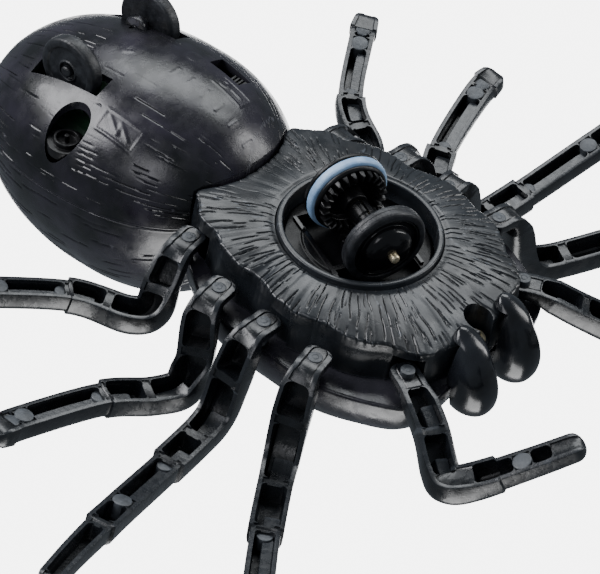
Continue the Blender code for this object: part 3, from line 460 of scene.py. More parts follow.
def in_notch(x, y):
    """True in the side wall's pockets for the leg roots."""
    hit = np.zeros(np.shape(x), bool)
    for sp in list(LEGS.values()) + [PALP]:
        for s in (1, -1):
            p0, p1 = Vector(sp["path"][0]), Vector(sp["path"][1])
            d = Vector(((p1.x - p0.x) * s, p1.y - p0.y)).normalized()
            dx, dy = x - p0.x * s, y - p0.y
            u, v = dx * d.x + dy * d.y, -dx * d.y + dy * d.x
            hit |= (u > -NOTCH_IN) & (u < NOTCH_OUT) & (np.abs(v) < NOTCH_HALF)
    return hit


# -------------------------------------------------------------- belly plate
def puffy(th):
    """1 on the left and front left, where the moulded hair is fullest."""
    return smooth01(1.3 - np.abs(np.mod(th - 1.75 + PI, 2 * PI) - PI) / 1.0)


def plate_groove(th, r, edge):
    """Hair strokes that fan out from the ring to the scalloped edge."""
    k = th * 92 / (2 * PI) + 0.22 * wave(th * 9, r / 5.0, 11)
    g = dashes(r, k, 0.19, 9.5, 21, 0.88, 0.55, 0.95)
    k2 = th * 150 / (2 * PI) + 0.2 * wave(th * 13, r / 4.0, 12)
    g2 = dashes(r, k2, 0.24, 6.5, 31, 0.5, 0.4, 0.85) * smooth01((r - 20.5) / 2.0) * 0.8
    rear = np.clip(1 - np.abs((np.mod(th - 0.10 + PI, 2 * PI) - PI)) / 0.42, 0, 1)
    quiet = 1 - 0.92 * smooth01(rear * 1.6) * smooth01((edge - r) / 3.0)
    return np.maximum(g, g2) * quiet


def belly_plate():
    n = 1200
    p, th, edge = radial(PLATE, n)
    ux, uy = np.sin(th), np.cos(th)
    rows = []

    def ring(r, z):
        r, z = np.broadcast_to(r, th.shape), np.broadcast_to(z, th.shape)
        rows.append(np.stack([ux * r, uy * r, z], 1))

    for r, z in ((RIM_R, 17.4), (RIM_R, 14.6), (RIM_R, RIM_Z + 0.35), (RIM_R + 0.05, RIM_Z + 0.14),
                 (RIM_R + 0.18, RIM_Z + 0.03), (RIM_R + 0.36, RIM_Z), (RIM_R + 0.8, RIM_Z),
                 (RIM_R + 1.05, RIM_Z + 0.05), (RIM_R + 1.2, RIM_Z + 0.22), (RIM_R + 1.25, RIM_Z + 0.5),
                 (RIM_R + 1.3, RIM_Z + 1.45), (RIM_R + 1.42, RIM_Z + 1.55)):
        ring(r, z)
    z_edge = 14.5 + 1.4 * np.clip((-p[:, 1] - 14.0) / 20.0, 0, None)
    r0 = RIM_R + 1.6
    wob = 0.28 * wave(th * 24, th * 0, 5) + 0.16 * wave(th * 60, th * 0, 6)
    m = 44
    full = puffy(th)
    for i in range(m + 1):
        f = i / m
        r = r0 + (edge + wob * 0.5 - 0.35 - r0) * f
        z = RIM_Z + 0.75 + (z_edge - RIM_Z - 0.75) * f ** 1.7 + 0.35 * (1 - smooth01(f * 9))
        g = plate_groove(th, r, edge)
        rib = wave(th * 17 + 0.4 * wave(r / 4, th * 4, 3), r / 8.0, 10)
        soft = 0.05 * wave(th * 8, r / 5.0, 9) + (0.05 + 0.15 * full) * rib
        z = z + (0.27 * g - soft * (0.4 + 0.6 * smooth01(f * 5))) * smooth01(f * 14 + 0.15)
        ring(r, z)
    ge = plate_groove(th, edge - 0.5, edge)
    ring(edge - 0.08 + wob * 0.5 - 0.20 * ge, z_edge + 0.18 + 0.18 * ge)
    ring(edge + 0.04 + wob * 0.5 - 0.22 * ge, z_edge + 0.5 + 0.1 * ge)
    ring(edge + 0.02 + wob * 0.3 - 0.1 * ge, z_edge + 0.85)
    ring(edge, z_edge + 1.3)
    lim = edge + 0.8
    for d in np.arange(0.8, -4.0, -0.05):
        lim = np.where(in_notch(ux * (edge + d), uy * (edge + d)), edge + d - 0.05, lim)
    top = np.where(lim < edge - WALL + 1.1, 17.8, SEAM_Z)
    ring(edge + 0.10, 17.2)
    ring(edge + 0.12, 17.66)
    ring(np.minimum(edge + 0.14, lim), 17.72)
    for f in (0.3, 0.65, 0.95):
        ring(np.minimum(edge + 0.10 + 0.6 * f, lim), np.minimum(17.2 + (SEAM_Z - 17.2) * f, top))
    ring(np.minimum(edge + 0.66, lim), top)
    ring(np.minimum(edge - WALL + 0.7, lim - 0.4), top)
    ring(np.minimum(edge - WALL, lim - 0.45), np.minimum(17.74, top - 0.05))
    ring(RING_R + 0.5, 15.4)
    ring(RING_R, 17.4)
    sh = Shape()
    sh.grid(np.array(rows), cu=True, cv=True)
    ob = build("belly_plate", sh, PLATE_M, "body", ["thorax_lower_shell"], SKIN_SHARP)
    # the screw's boss, the hole its head sits in and the hole for its shank
    boss = lathe([(0, 15.7), (4.3, 15.7), (4.3, 24.0), (0, 24.0)], (0, -29.6, 0), VERTICAL, 48)
    cut(ob, [("UNION", boss), ("DIFFERENCE", rod(3.2, (0, SCREW_Y, 8), VERTICAL, 13.6)),
             ("DIFFERENCE", rod(1.45, (0, SCREW_Y, 8), VERTICAL, 30))], SKIN_SHARP)

    # depth of the hair strokes on the plate, kept as the attribute the material paints as shade in the grooves
    def fn(x, y, z):
        t = np.mod(np.arctan2(x, y), 2 * PI)
        r = np.hypot(x, y)
        e = np.interp(t, np.r_[th, 2 * PI], np.r_[edge, edge[0]])
        on = (r > RIM_R + 1.5) & (r < e - 0.1) & (z < 16.8)
        return np.where(on, plate_groove(t, r, e) * 0.9, 0)
    paint(ob, "groove_painted_shade", fn)


# --------------------------------------------------------------- back shell
def back_hair(x, y, z, zc, seed):
    ang = np.arctan2(z - zc, x)
    k = ang * 46 + 0.6 * wave(y / 7, ang * 4, seed)
    return dashes(y, k, 0.32, 7.5, seed + 1, 0.85, 0.4, 0.9)


def dome_row(r, th, a, z_top):
    """A level ring of the dome at angle a, 0 at its foot, and how far it has drawn in."""
    s = math.cos(a) ** DOME_P
    x, y = r * np.sin(th) * s, r * np.cos(th) * s - DOME_LEAN * (1 - s)
    return x, y, np.full(len(th), DOME_Z + (z_top - DOME_Z) * math.sin(a) ** DOME_P), s


def furrows(x, y):
    """Furrows between the head and the chest, at three angles each side."""
    az = np.abs(np.arctan2(x, y + 3.0))
    return np.exp(-((az - 2.2) / 0.12) ** 2) + 0.6 * np.exp(-((az - 1.2) / 0.10) ** 2) \
        + 0.6 * np.exp(-((az - 0.55) / 0.10) ** 2)


def carapace():
    n = 480
    _, th, edge = radial(BACK, n)

    def dome(inset, z_top, count, relief):
        rows = []
        for i in range(count):
            a = (PI / 2) * i / count
            x, y, z, s = dome_row(edge - inset, th, a, z_top)
            if relief:
                band = smooth01((1 - s) * 3) * smooth01(s * 5)
                g = back_hair(x, y, z, 24.0, 61)
                fade = smooth01(i / 4.0)
                # furrows, a pit in the middle of the back, hair, slow waves
                drop = 0.55 * furrows(x, y) * band + 0.9 * math.exp(-(s / 0.14) ** 2) \
                    + 0.22 * g * fade + 0.10 * wave(x / 3, y / 3, 8) * fade
                k = 1 - drop * 0.5 / np.maximum(np.hypot(x, y), 8)
                x, y, z = x * k, y * k, z - drop * math.sin(a)
            rows.append(np.stack([x, y, z], 1))
        return rows
    outer = dome(0.0, CARA_TOP, 60, True)
    rim = [outer[0] * [0.999, 0.999, 1] + [0, 0, 0.35], outer[0] * [0.992, 0.992, 1] + [0, 0, 0.08],
           outer[0] * [0.985, 0.985, 1]]
    # a flange inside the rim closes the step down to the lower shell
    r = np.minimum(radial(PLATE, n)[2] - 0.5, edge - 2.2)
    flange = [np.stack([r * np.sin(th), r * np.cos(th), np.full(n, z)], 1) for z in (DOME_Z, DOME_Z + 1.3)]
    inner = [q for q in dome(1.7, CARA_TOP - 2.4, 14, False) if q[0, 2] > DOME_Z + 1.4]
    sh = Shape()
    idx = sh.grid(np.array(outer[::-1][:-1] + rim + flange + inner), cv=True)
    sh.cap(idx[0], (0, -DOME_LEAN, CARA_TOP - 0.9))
    sh.cap(idx[-1], (0, -DOME_LEAN, CARA_TOP - 2.4))
    ob = build("carapace", sh, SHELL, "body", ["thorax_back_shell"], SKIN_SHARP)
    # the hair strokes' depth, which the material paints as shade in the grooves
    paint(ob, "groove_painted_shade", lambda x, y, z: back_hair(x, y, z, 24.0, 61) * 0.8)


def dome_solid(grow, n=240, m=30):
    """The back shell's whole volume, grown all round, as a cutter."""
    _, th, edge = radial(BACK, n)
    r, foot = edge + grow, 5.0
    rows = [np.stack([r * np.sin(th), r * np.cos(th), np.full(n, foot)], 1)]
    rows += [np.stack(dome_row(r, th, (PI / 2) * i / m, CARA_TOP + grow)[:3], 1) for i in range(m)]
    sh = Shape()
    idx = sh.grid(np.array(rows), cv=True)
    sh.cap(idx[0], (0, 0, foot))
    sh.cap(idx[-1], (0, -DOME_LEAN, CARA_TOP + grow))
    return sh


# ------------------------------------------------------------------ abdomen
AB_M = Matrix.Translation(Vector(AB_C)) @ Matrix.Rotation(AB_TILT, 4, "X")
AB_MN = np.array(AB_M)
AB_INV = np.array(AB_M.inverted())


def girth(u):
    """The egg's relative half width at u, -1..1 along it."""
    return np.clip(1 - np.abs(u) ** AB_P, 0, None) ** (1 / AB_P)


def egg(u, phi, sign, inset=0.0, sink=0.0):
    """Point of the egg: u -1..1 along it, phi 0..pi round one half, in the egg's own frame."""
    ax, ay = AB_AX - inset, AB_AY - inset
    h = (AB_DOWN if sign < 0 else AB_UP) - inset
    k = girth(u) * (1 + AB_K * u) - sink / 27.0
    return ax * k * np.cos(phi), ay * u, sign * h * k * np.sin(phi)


def to_world(x, y, z):
    P = np.stack([x, y, z, np.ones_like(x)], -1)
    return (P @ AB_MN.T)[..., :3]


def hair(y, ang, rr, seed):
    """Short lengthwise strokes, fewer across where the egg narrows."""
    g = 0
    for count, lo, hi in ((58, 0.62, 9.0), (38, 0.36, 0.62), (20, 0.0, 0.36)):
        k = ang * count / PI + 0.25 * wave(y / 9, ang * 5, seed)
        on = smooth01((rr - lo) / 0.03 + 0.5) * smooth01((hi - rr) / 0.03 + 0.5)
        g = np.maximum(g, dashes(y, k, 0.20, 15.0, seed + count, 0.66, 0.30, 0.9) * on)
    return g


def smooth_patches(x, y):
    """0 where the belly is left plain: the middle band, the small marks, socket and wheels."""
    band = smooth01((np.abs(x) - 5.5) / 2.0)
    keep = np.where((y > 22) & (y < 70), band, 1.0)
    for cx, cy, hx, hy in ((17.5, 51.2, 3.6, 6.4), (-7.0, 46.0, 4.6, 11.5), (0, 64.5, 7.5, 5.0),
                           (SOCKET_X, SOCKET_Y, 5.0, 5.0), (RW_X, RW_Y, 3.4, 10.0), (-RW_X, RW_Y, 3.4, 10.0)):
        d = np.maximum(np.abs(x - cx) - hx, np.abs(y - cy) - hy)
        keep = np.minimum(keep, smooth01(d / 1.2 + 0.3))
    return keep


def marks(x, y):
    """Plain raised frames and an arrow in place of lettering."""
    def frame_(cx, cy, hx, hy, w=0.28):
        d = np.abs(np.maximum(np.abs(x - cx) - hx, np.abs(y - cy) - hy))
        return smooth01(1.4 - d / w)

    def line(x0, y0, x1, y1, w=0.30):
        dx, dy = x1 - x0, y1 - y0
        t = np.clip(((x - x0) * dx + (y - y0) * dy) / (dx * dx + dy * dy), 0, 1)
        return smooth01(1.4 - np.hypot(x - x0 - t * dx, y - y0 - t * dy) / w)

    def ring(cx, cy, r):
        return smooth01(1.4 - np.abs(np.hypot(x - cx, y - cy) - r) / 0.28)
    parts = [frame_(17.5, 51.2, 2.0, 5.0), frame_(-6.3, 41.3, 1.9, 3.9)]
    # a bolt sign in the frame by the charging well
    parts += [line(*seg, 0.36) for seg in ((18.6, 47.8, 16.6, 51.4), (16.6, 51.4, 18.5, 51.0),
                                           (18.5, 51.0, 16.5, 54.6))]
    # a bar and two rings beside the switch
    parts += [line(-6.3, 38.9, -6.3, 41.3), ring(-6.3, 43.4, 0.9), ring(-7.4, 53.0, 1.5)]
    # a row of small bars down the middle band, then an arrow
    parts += [line(-1.3, 31 + i * 4.2, 1.3, 31 + i * 4.2) * 0.8 for i in range(6)]
    parts += [line(-2.6, 64.5, 2.6, 64.5), line(1.2, 62.9, 2.6, 64.5), line(1.2, 66.1, 2.6, 64.5)]
    return np.maximum.reduce(parts)


def half_egg(name, sign, nodes):
    """Hollow half of the egg with its hair relief; sign is -1 for the belly, 1 for the back."""
    nu, nph, nin = 300, 360, 24
    t = np.linspace(-PI / 2, PI / 2, nu)
    u = np.sign(t) * np.abs(np.sin(t)) ** (2 / AB_P)
    gap = 0.16
    phi = np.linspace(0, PI, nph)
    U, F = np.meshgrid(u, phi, indexing="ij")
    rr = girth(U)
    seed = 71 if sign < 0 else 91
    x, y, z = egg(U, F, sign)
    W = to_world(x, y, z)
    g = hair(y, F, rr, seed)
    if sign < 0:
        g = g * smooth_patches(W[..., 0], W[..., 1])
    soft = 0.10 * wave(y / 6, F * 7, seed + 3) + 0.22 * wave(y / 13, F * 3, seed + 4)
    if sign < 0:
        soft = soft - 0.22 * marks(W[..., 0], W[..., 1]) * (rr > 0.3)
    edge = smooth01(np.minimum(F, PI - F) / 0.03)
    x, y, z = egg(U, F, sign, 0.0, (0.26 * g + soft * 0.5 + 0.1) * edge * smooth01(rr * 4))
    lip = 0.22 * (1 - smooth01(np.minimum(F, PI - F) / 0.016))
    x = x - np.sign(np.cos(F)) * lip * (rr > 0.1)
    z = np.where(sign * z < gap, sign * gap, z)
    outer = to_world(x, y, z)
    U2, F2 = np.meshgrid(u, np.linspace(0, PI, nin), indexing="ij")
    x, y, z = egg(U2, F2, sign, AB_WALL)
    z = np.where(sign * z < gap, sign * gap, z)
    inner = to_world(x, y, z)
    P = np.concatenate([outer, inner[:, ::-1]], 1)
    sh = Shape()
    idx = sh.grid(P[1:-1], cv=True)
    for row, e in ((idx[0], -1), (idx[-1], 1)):
        ro, ri = row[:nph], row[nph:]
        po = to_world(*[np.array(q, float) for q in (0.0, e * AB_AY, sign * gap)])
        pi_ = to_world(*[np.array(q, float) for q in (0.0, e * (AB_AY - AB_WALL), sign * gap)])
        sh.v += [po.reshape(1, 3), pi_.reshape(1, 3)]
        a, b = sh.n, sh.n + 1
        sh.n += 2
        for i in range(nph - 1):
            sh.f.append([int(ro[i]), int(ro[i + 1]), a])
        for i in range(nin - 1):
            sh.f.append([int(ri[i]), int(ri[i + 1]), b])
        sh.f.append([int(ro[-1]), int(ri[0]), b, a])
        sh.f.append([int(ri[-1]), int(ro[0]), a, b])
    return build(name, sh, SHELL, "body", nodes, SKIN_SHARP), seed


def abdomen():
    belly, seed = half_egg("abdomen_belly", -1, ["abdomen_belly_shell"])
    steps = [("DIFFERENCE", prism(PLATE, 0.9, -5, 70)), ("DIFFERENCE", prism(BACK, 0.5, SEAM_Z - 0.2, 70))]
    for s, _, _ in SIDES:
        # cheek and web that carry the wheel's pin, then the wheel's well and the pin's hole
        x0 = s * (RW_X - 4.2)
        cheek = lathe([(0, -0.8), (2.9, -0.8), (2.9, 0.8), (0, 0.8)], (x0, RW_Y, RW_R), ACROSS, 48, 0.3)
        steps += [("UNION", cheek),
                  ("UNION", block((x0 - 0.75, RW_Y - 2.7, RW_R), (x0 + 0.75, RW_Y + 2.7, 10.6))),
                  ("DIFFERENCE", block((s * RW_X - 2.4, RW_Y - 9.2, -2), (s * RW_X + 2.4, RW_Y + 9.2, 14.6))),
                  ("DIFFERENCE", rod(1.1, (s * RW_X - 12, RW_Y, RW_R), ACROSS, 24))]
    # the charging well and the switch's slot
    steps += [("DIFFERENCE", rod(4.5, (SOCKET_X, SOCKET_Y, 0), VERTICAL, 22)),
              ("DIFFERENCE", block((-13.6, 42.0, 0), (-9.2, 50.2, 14)))]
    cut(belly, steps, SKIN_SHARP)
    back, seed2 = half_egg("abdomen_back", 1, ["abdomen_back_shell"])
    cut(back, [("DIFFERENCE", dome_solid(0.35))], SKIN_SHARP)
    # the hair strokes' depth on both halves, which the material paints as shade in the grooves
    for ob, sign, sd in ((belly, -1, seed), (back, 1, seed2)):
        def fn(x, y, z, sign=sign, sd=sd):
            Q = (np.stack([x, y, z, np.ones_like(x)], -1) @ AB_INV.T)[:, :3]
            u = np.clip(Q[:, 1] / AB_AY, -1, 1)
            rr = girth(u)
            h = AB_DOWN if sign < 0 else AB_UP
            ang = np.arctan2(np.maximum(sign * Q[:, 2] / h, 0), Q[:, 0] / AB_AX)
            g = hair(Q[:, 1], ang, rr, sd)
            if sign < 0:
                g = g * smooth_patches(x, y)
            size = np.hypot(Q[:, 0] / AB_AX, Q[:, 2] / h)
            return np.where(size > rr - 0.03, g * 0.85, 0)
        paint(ob, "groove_painted_shade", fn)
    for s, nm, _ in SIDES:
        sh = lathe([(0, 1.0), (2.9, 1.0), (3.15, 1.6), (3.1, 2.3), (2.9, 2.9), (2.85, 3.05), (2.6, 3.5),
                    (2.2, 4.2), (1.7, 4.7), (1.1, 5.05), (0.5, 5.25), (0, 5.3)],
                   (s * 4.6, 91.8, 30.4), (s * 0.25, 1, 0.12), 40)
        build("spinneret_%s_skin" % nm, sh, SHELL, "body", ["spinneret_" + nm])


# --------------------------------------------------------------------- legs
def catmull(points, t):
    """Point at t on the curve through points, whose ends run straight on."""
    n = len(points)
    i = min(int(t), n - 2)
    f = t - i
    p1, p2 = Vector(points[i]), Vector(points[i + 1])
    p0 = Vector(points[i - 1]) if i > 0 else p1 * 2 - p2
    p3 = Vector(points[i + 2]) if i + 2 < n else p2 * 2 - p1
    return spline(p0, p1, p2, p3, f)


def arc_table(path, per=12):
    pts = [catmull(path, i / per) for i in range((len(path) - 1) * per + 1)]
    acc = [0.0]
    for p, q in zip(pts, pts[1:]):
        acc.append(acc[-1] + (q - p).length)
    return pts, acc


def at_arc(tab, s):
    pts, acc = tab
    if s < 0:
        return pts[0] + (pts[1] - pts[0]).normalized() * s
    s = min(s, acc[-1])
    for i in range(len(acc) - 1):
        if s <= acc[i + 1]:
            return pts[i].lerp(pts[i + 1], (s - acc[i]) / (acc[i + 1] - acc[i] + 1e-12))
    return pts[-1]


def leg_frame(tab, s):
    c = at_arc(tab, s)
    t = (at_arc(tab, s + 1.2) - at_arc(tab, s - 1.2)).normalized()
    far = at_arc(tab, s + 7.0) - at_arc(tab, s - 7.0)
    flat = Vector((far.x, far.y, 0)).normalized()
    side = Vector((0, 0, 1)).cross(flat).normalized()
    side = (side - t * side.dot(t)).normalized()
    down = t.cross(side)
    if down.z > 0 or (abs(down.z) < 0.3 and down.dot(flat) < 0):
        down = -down
    return c, t, side, down


def lerp_table(rows, s):
    if s <= rows[0][0]:
        return rows[0][1:]
    for a, b in zip(rows, rows[1:]):
        if s <= b[0]:
            f = (s - a[0]) / (b[0] - a[0] + 1e-9)
            return tuple(x + (y - x) * f for x, y in zip(a[1:], b[1:]))
    return rows[-1][1:]


def section(w, h, c, floor):
    """Channel section, sideways against open side: outer wall, rim, hollow down to floor."""
    f2 = min(floor + 0.35, h - 0.3)
    half = [(w - 0.16, h), (w - 0.04, h - 0.06), (w, h - 0.22), (w, 0.25 * h), (0.985 * w, -0.25 * h),
            (0.90 * w, -0.62 * h), (0.70 * w, -0.86 * h), (0.38 * w, -0.97 * h)]
    inner = [(c + 0.06, h), (c, h - 0.10), (c * 0.985, (f2 + h) / 2), (c * 0.96, f2), (c * 0.82, floor)]
    left = [(-x, z) for x, z in half]
    right = [(x, z) for x, z in reversed(half)]
    return left + [(0, -h)] + right + inner + [(-x, z) for x, z in reversed(inner)]


def leg_shape(path, side, sizes, cells, end):
    """A channel along path. sizes: (at, half width, half height); cells: (from, to, depth) hollows."""
    tab = arc_table(path)
    # stations along the path, close together where a hollow begins or ends
    st = set(np.round(np.arange(-1.0, end, 0.55), 3).tolist()) | {round(r[0], 3) for r in sizes}
    for c0, c1, _ in cells:
        st |= {round(v, 3) for d in (-0.12, 0.0, 0.02, 0.12, 0.3, 0.6, 1.0) for v in (c0 + d, c1 - d)}
    st = sorted(v for v in st if -1.0 <= v <= end)
    rows = []
    k = 0.985                 # keeps the skin just inside the CAD solid
    for g, q in ((-3.05, 0.30), (-2.9, 0.55), (-2.6, 0.78), (-2.1, 0.95), (-1.5, 1.0)):
        c, t, sd, dn = leg_frame(tab, g)
        w, h = lerp_table(sizes, -1.0)
        w *= q
        rows.append([c + sd * (u * k) + dn * v for u, v in section(w, h, w * 0.6, h - 0.14)])
    for s in st:
        c, t, sd, dn = leg_frame(tab, s)
        w, h = lerp_table(sizes, s)
        w, h = w * k, h * k
        ci, floor = w - 1.0, h - 0.42
        if s < 3.6:
            ci, floor = w * 0.6, h - 0.14
        for c0, c1, dep in cells:
            if c0 <= s <= c1:
                ds = min(s - c0, c1 - s)
                if ds < 0.01:
                    ci, floor = w - 2.0, h - 0.42
                else:
                    q = max(0.0, 1.0 - ds)
                    ci = w - 2.0 + math.sqrt(max(0.0, 1.0 - q * q))
                    floor = max(h - dep, -0.74 * h)
                    if ds < 0.13:
                        floor = min(h - 0.42, floor + (0.13 - ds) * 1.5)
        rows.append([c + sd * u + dn * v for u, v in section(w, h, max(0.5, ci), floor)])
    c, t, sd, dn = leg_frame(tab, st[-1])
    w, h = lerp_table(sizes, st[-1])
    w, h = w * k, h * k
    for a in (20, 38, 54, 68, 80):
        q, g = math.cos(math.radians(a)), math.sin(math.radians(a))
        rows.append([c + t * (w * 0.9 * g) + (sd * u + dn * v) * q
                     for u, v in section(w, h, w - 1.0 + 0.9 * (1 - q), h - 0.42 + 0.26 * (1 - q))])
    P = np.array([[(p[0] * side, p[1], p[2]) for p in r] for r in rows])
    sh = Shape()
    sh.cap_ends(sh.grid(P, cv=True))
    return sh, tab


def post(tab, sizes, s, off, r, side, below):
    """A round post standing in the hollow, its flat end so far below the rim."""
    c, t, sd, dn = leg_frame(tab, s)
    w, h = lerp_table(sizes, s)
    top = h - below
    m = Matrix(((side, 0, 0), (0, 1, 0), (0, 0, 1)))
    return lathe([(0, -0.5 * h), (r, -0.5 * h), (r, top), (0, top + 0.02)],
                 m @ (c + sd * off), m @ dn, 32, 0.22)


def join(shapes):
    out = Shape()
    for sh in shapes:
        out.v += sh.v
        out.f += [[i + out.n for i in f] for f in sh.f]
        out.n += sh.n
    return out


def strip(tab, sizes, s0, s1, lo, hi, top, side):
    """A raised strip on the floor of a hollow, from lo to hi of the half width, top mm under the rim."""
    rows = []
    for i in range(13):
        s = s0 + (s1 - s0) * i / 12
        c, t, sd, dn = leg_frame(tab, s)
        w, h = lerp_table(sizes, s)
        ci = w - 1.02
        z1, z0 = h - top, -0.74 * h
        e = 0.12 if 0 < i < 12 else 0.3
        pts = [(lo * ci, z0), (lo * ci, z1 - e), (lo * ci + e, z1),
               (hi * ci - e, z1), (hi * ci, z1 - e), (hi * ci, z0)]
        rows.append([c + sd * u + dn * v for u, v in pts])
    P = np.array([[(p[0] * side, p[1], p[2]) for p in r] for r in rows])
    sh = Shape()
    sh.cap_ends(sh.grid(P, cv=True))
    return sh


def legs():
    for side, word, sd in SIDES:
        for nm, sp in LEGS.items():
            end = arc_table(sp["path"])[1][-1]
            a, b, foot = sp["a"], sp["b"], sp["foot"]
            k = 0.92 if nm == "leg_1" else 1.0
            st2 = end - 5.0 if foot else b + 9.5
            sizes = [(-3.1, 1.3, 1.3), (-2.4, 2.3, 1.4), (-1.0, 3.0, 1.4), (3.2, 3.0, 1.5), (6.5, 3.7 * k, 2.6),
                     (12, 3.9 * k, 3.0), (22, 3.8 * k, 3.1), (30, 3.6 * k, 2.9), (a - 0.45, 3.6 * k, 2.9),
                     (a - 0.25, 3.0 * k, 2.5), (b + 4, 3.1 * k, 2.5), (st2 - 0.1, 3.2 * k, 2.6)]
            sizes += [(st2 + 0.1, 3.5 * k, 2.9), (end, 2.9 * k, 2.4)] if foot else \
                [(st2 + 0.1, 2.7, 2.3), (end, 2.3, 2.0)]
            end -= 2.2
            if nm == "leg_1":
                cells = [(5.4, 11.0, 5.4), (12.8, 26.5, 5.0), (28.2, a - 1.0, 4.6)]
            else:
                cells = [(5.4, 12.4, 5.6), (14.4, 30.6, 5.2), (32.6, a - 1.0, 4.4)]
            cells += [(a + 0.6, b - 1.6, 4.2), (b + 1.8, st2 - 1.2, 4.4)]
            if not foot:
                cells.append((st2 + 1.6, end - 0.8, 3.6))
            sh, tab = leg_shape(sp["path"], side, sizes, cells, end)
            parts = [sh, strip(tab, sizes, a + 1.2, b - 2.2, -0.98, 0.15, 1.3, side),
                     strip(tab, sizes, a - 6.0, a - 1.4, -0.98, 0.3, 2.0, side),
                     strip(tab, sizes, 22.5, 29.0, -0.98, 0.55, 3.0, side)]
            build("%s_%s_shell" % (nm, sd), join(parts), LEG_M, "%s_%s" % (word, nm), ["%s_%s" % (nm, sd)],
                  HUB_SHARP)
            posts = [post(tab, sizes, b, 0.15, 2.0, side, 0.08),
                     post(tab, sizes, a + 0.9, 0.0, 1.7, side, 0.9)]
            if foot:
                posts.append(post(tab, sizes, st2 - 0.2, 0.0, 1.7, side, 0.25))
            build("%s_%s_posts" % (nm, sd), join(posts), PEG_M, "%s_%s" % (word, nm), (),
                  POST_SHARP)
        sp = PALP
        end = arc_table(sp["path"])[1][-1]
        e, b = sp["elbow"], sp["b"]
        sizes = [(-3.1, 1.3, 1.3), (-2.4, 2.3, 1.4), (-1.0, 3.0, 1.4), (3.4, 3.0, 1.8), (7, 3.4, 2.6),
                 (e - 3, 3.5, 2.9), (e + 3, 3.6, 2.9), (b - 5.2, 3.4, 2.7), (b - 4.8, 2.9, 2.3), (end, 2.6, 2.1)]
        end -= 2.2
        cells = [(3.8, 12.6, 4.6), (14.2, e - 1.6, 4.8), (e + 6.2, b - 1.8, 4.4), (b + 1.9, b + 6.0, 3.8)]
        sh, tab = leg_shape(sp["path"], side, sizes, cells, end)
        parts = [sh, strip(tab, sizes, 7.6, 12.4, -0.98, 0.1, 1.8, side),
                 strip(tab, sizes, 18.6, 22.6, -0.98, 0.1, 2.2, side)]
        build("palp_%s_shell" % sd, join(parts), LEG_M, "%s_palp" % word, ["palp_" + sd],
              HUB_SHARP)
        build("palp_%s_posts" % sd, post(tab, sizes, b, 0.1, 2.0, side, 0.0), PEG_M, "%s_palp" % word, (),
              POST_SHARP)
    # pegs on the body that the roots turn on
    for side, _, sd in SIDES:
        for nm, sp in list(LEGS.items()) + [("palp", PALP)]:
            x, y, _ = sp["path"][0]
            sh = lathe([(0, 18.35), (0.55, 18.35), (0.7, 18.45), (PEG_R, 18.45), (PEG_R, SEAM_Z), (0, SEAM_Z)],
                       (x * side, y, 0), VERTICAL, 32, 0.15)
            build("%s_pin_%s_end" % (nm, sd), sh, PEG_M, "body", ["%s_pin_%s" % (nm, sd)])


# ------------------------------------------------------------------- turret
def on_axle(s):
    return Vector((AX.x * s, AX.y * s, AXLE_Z))


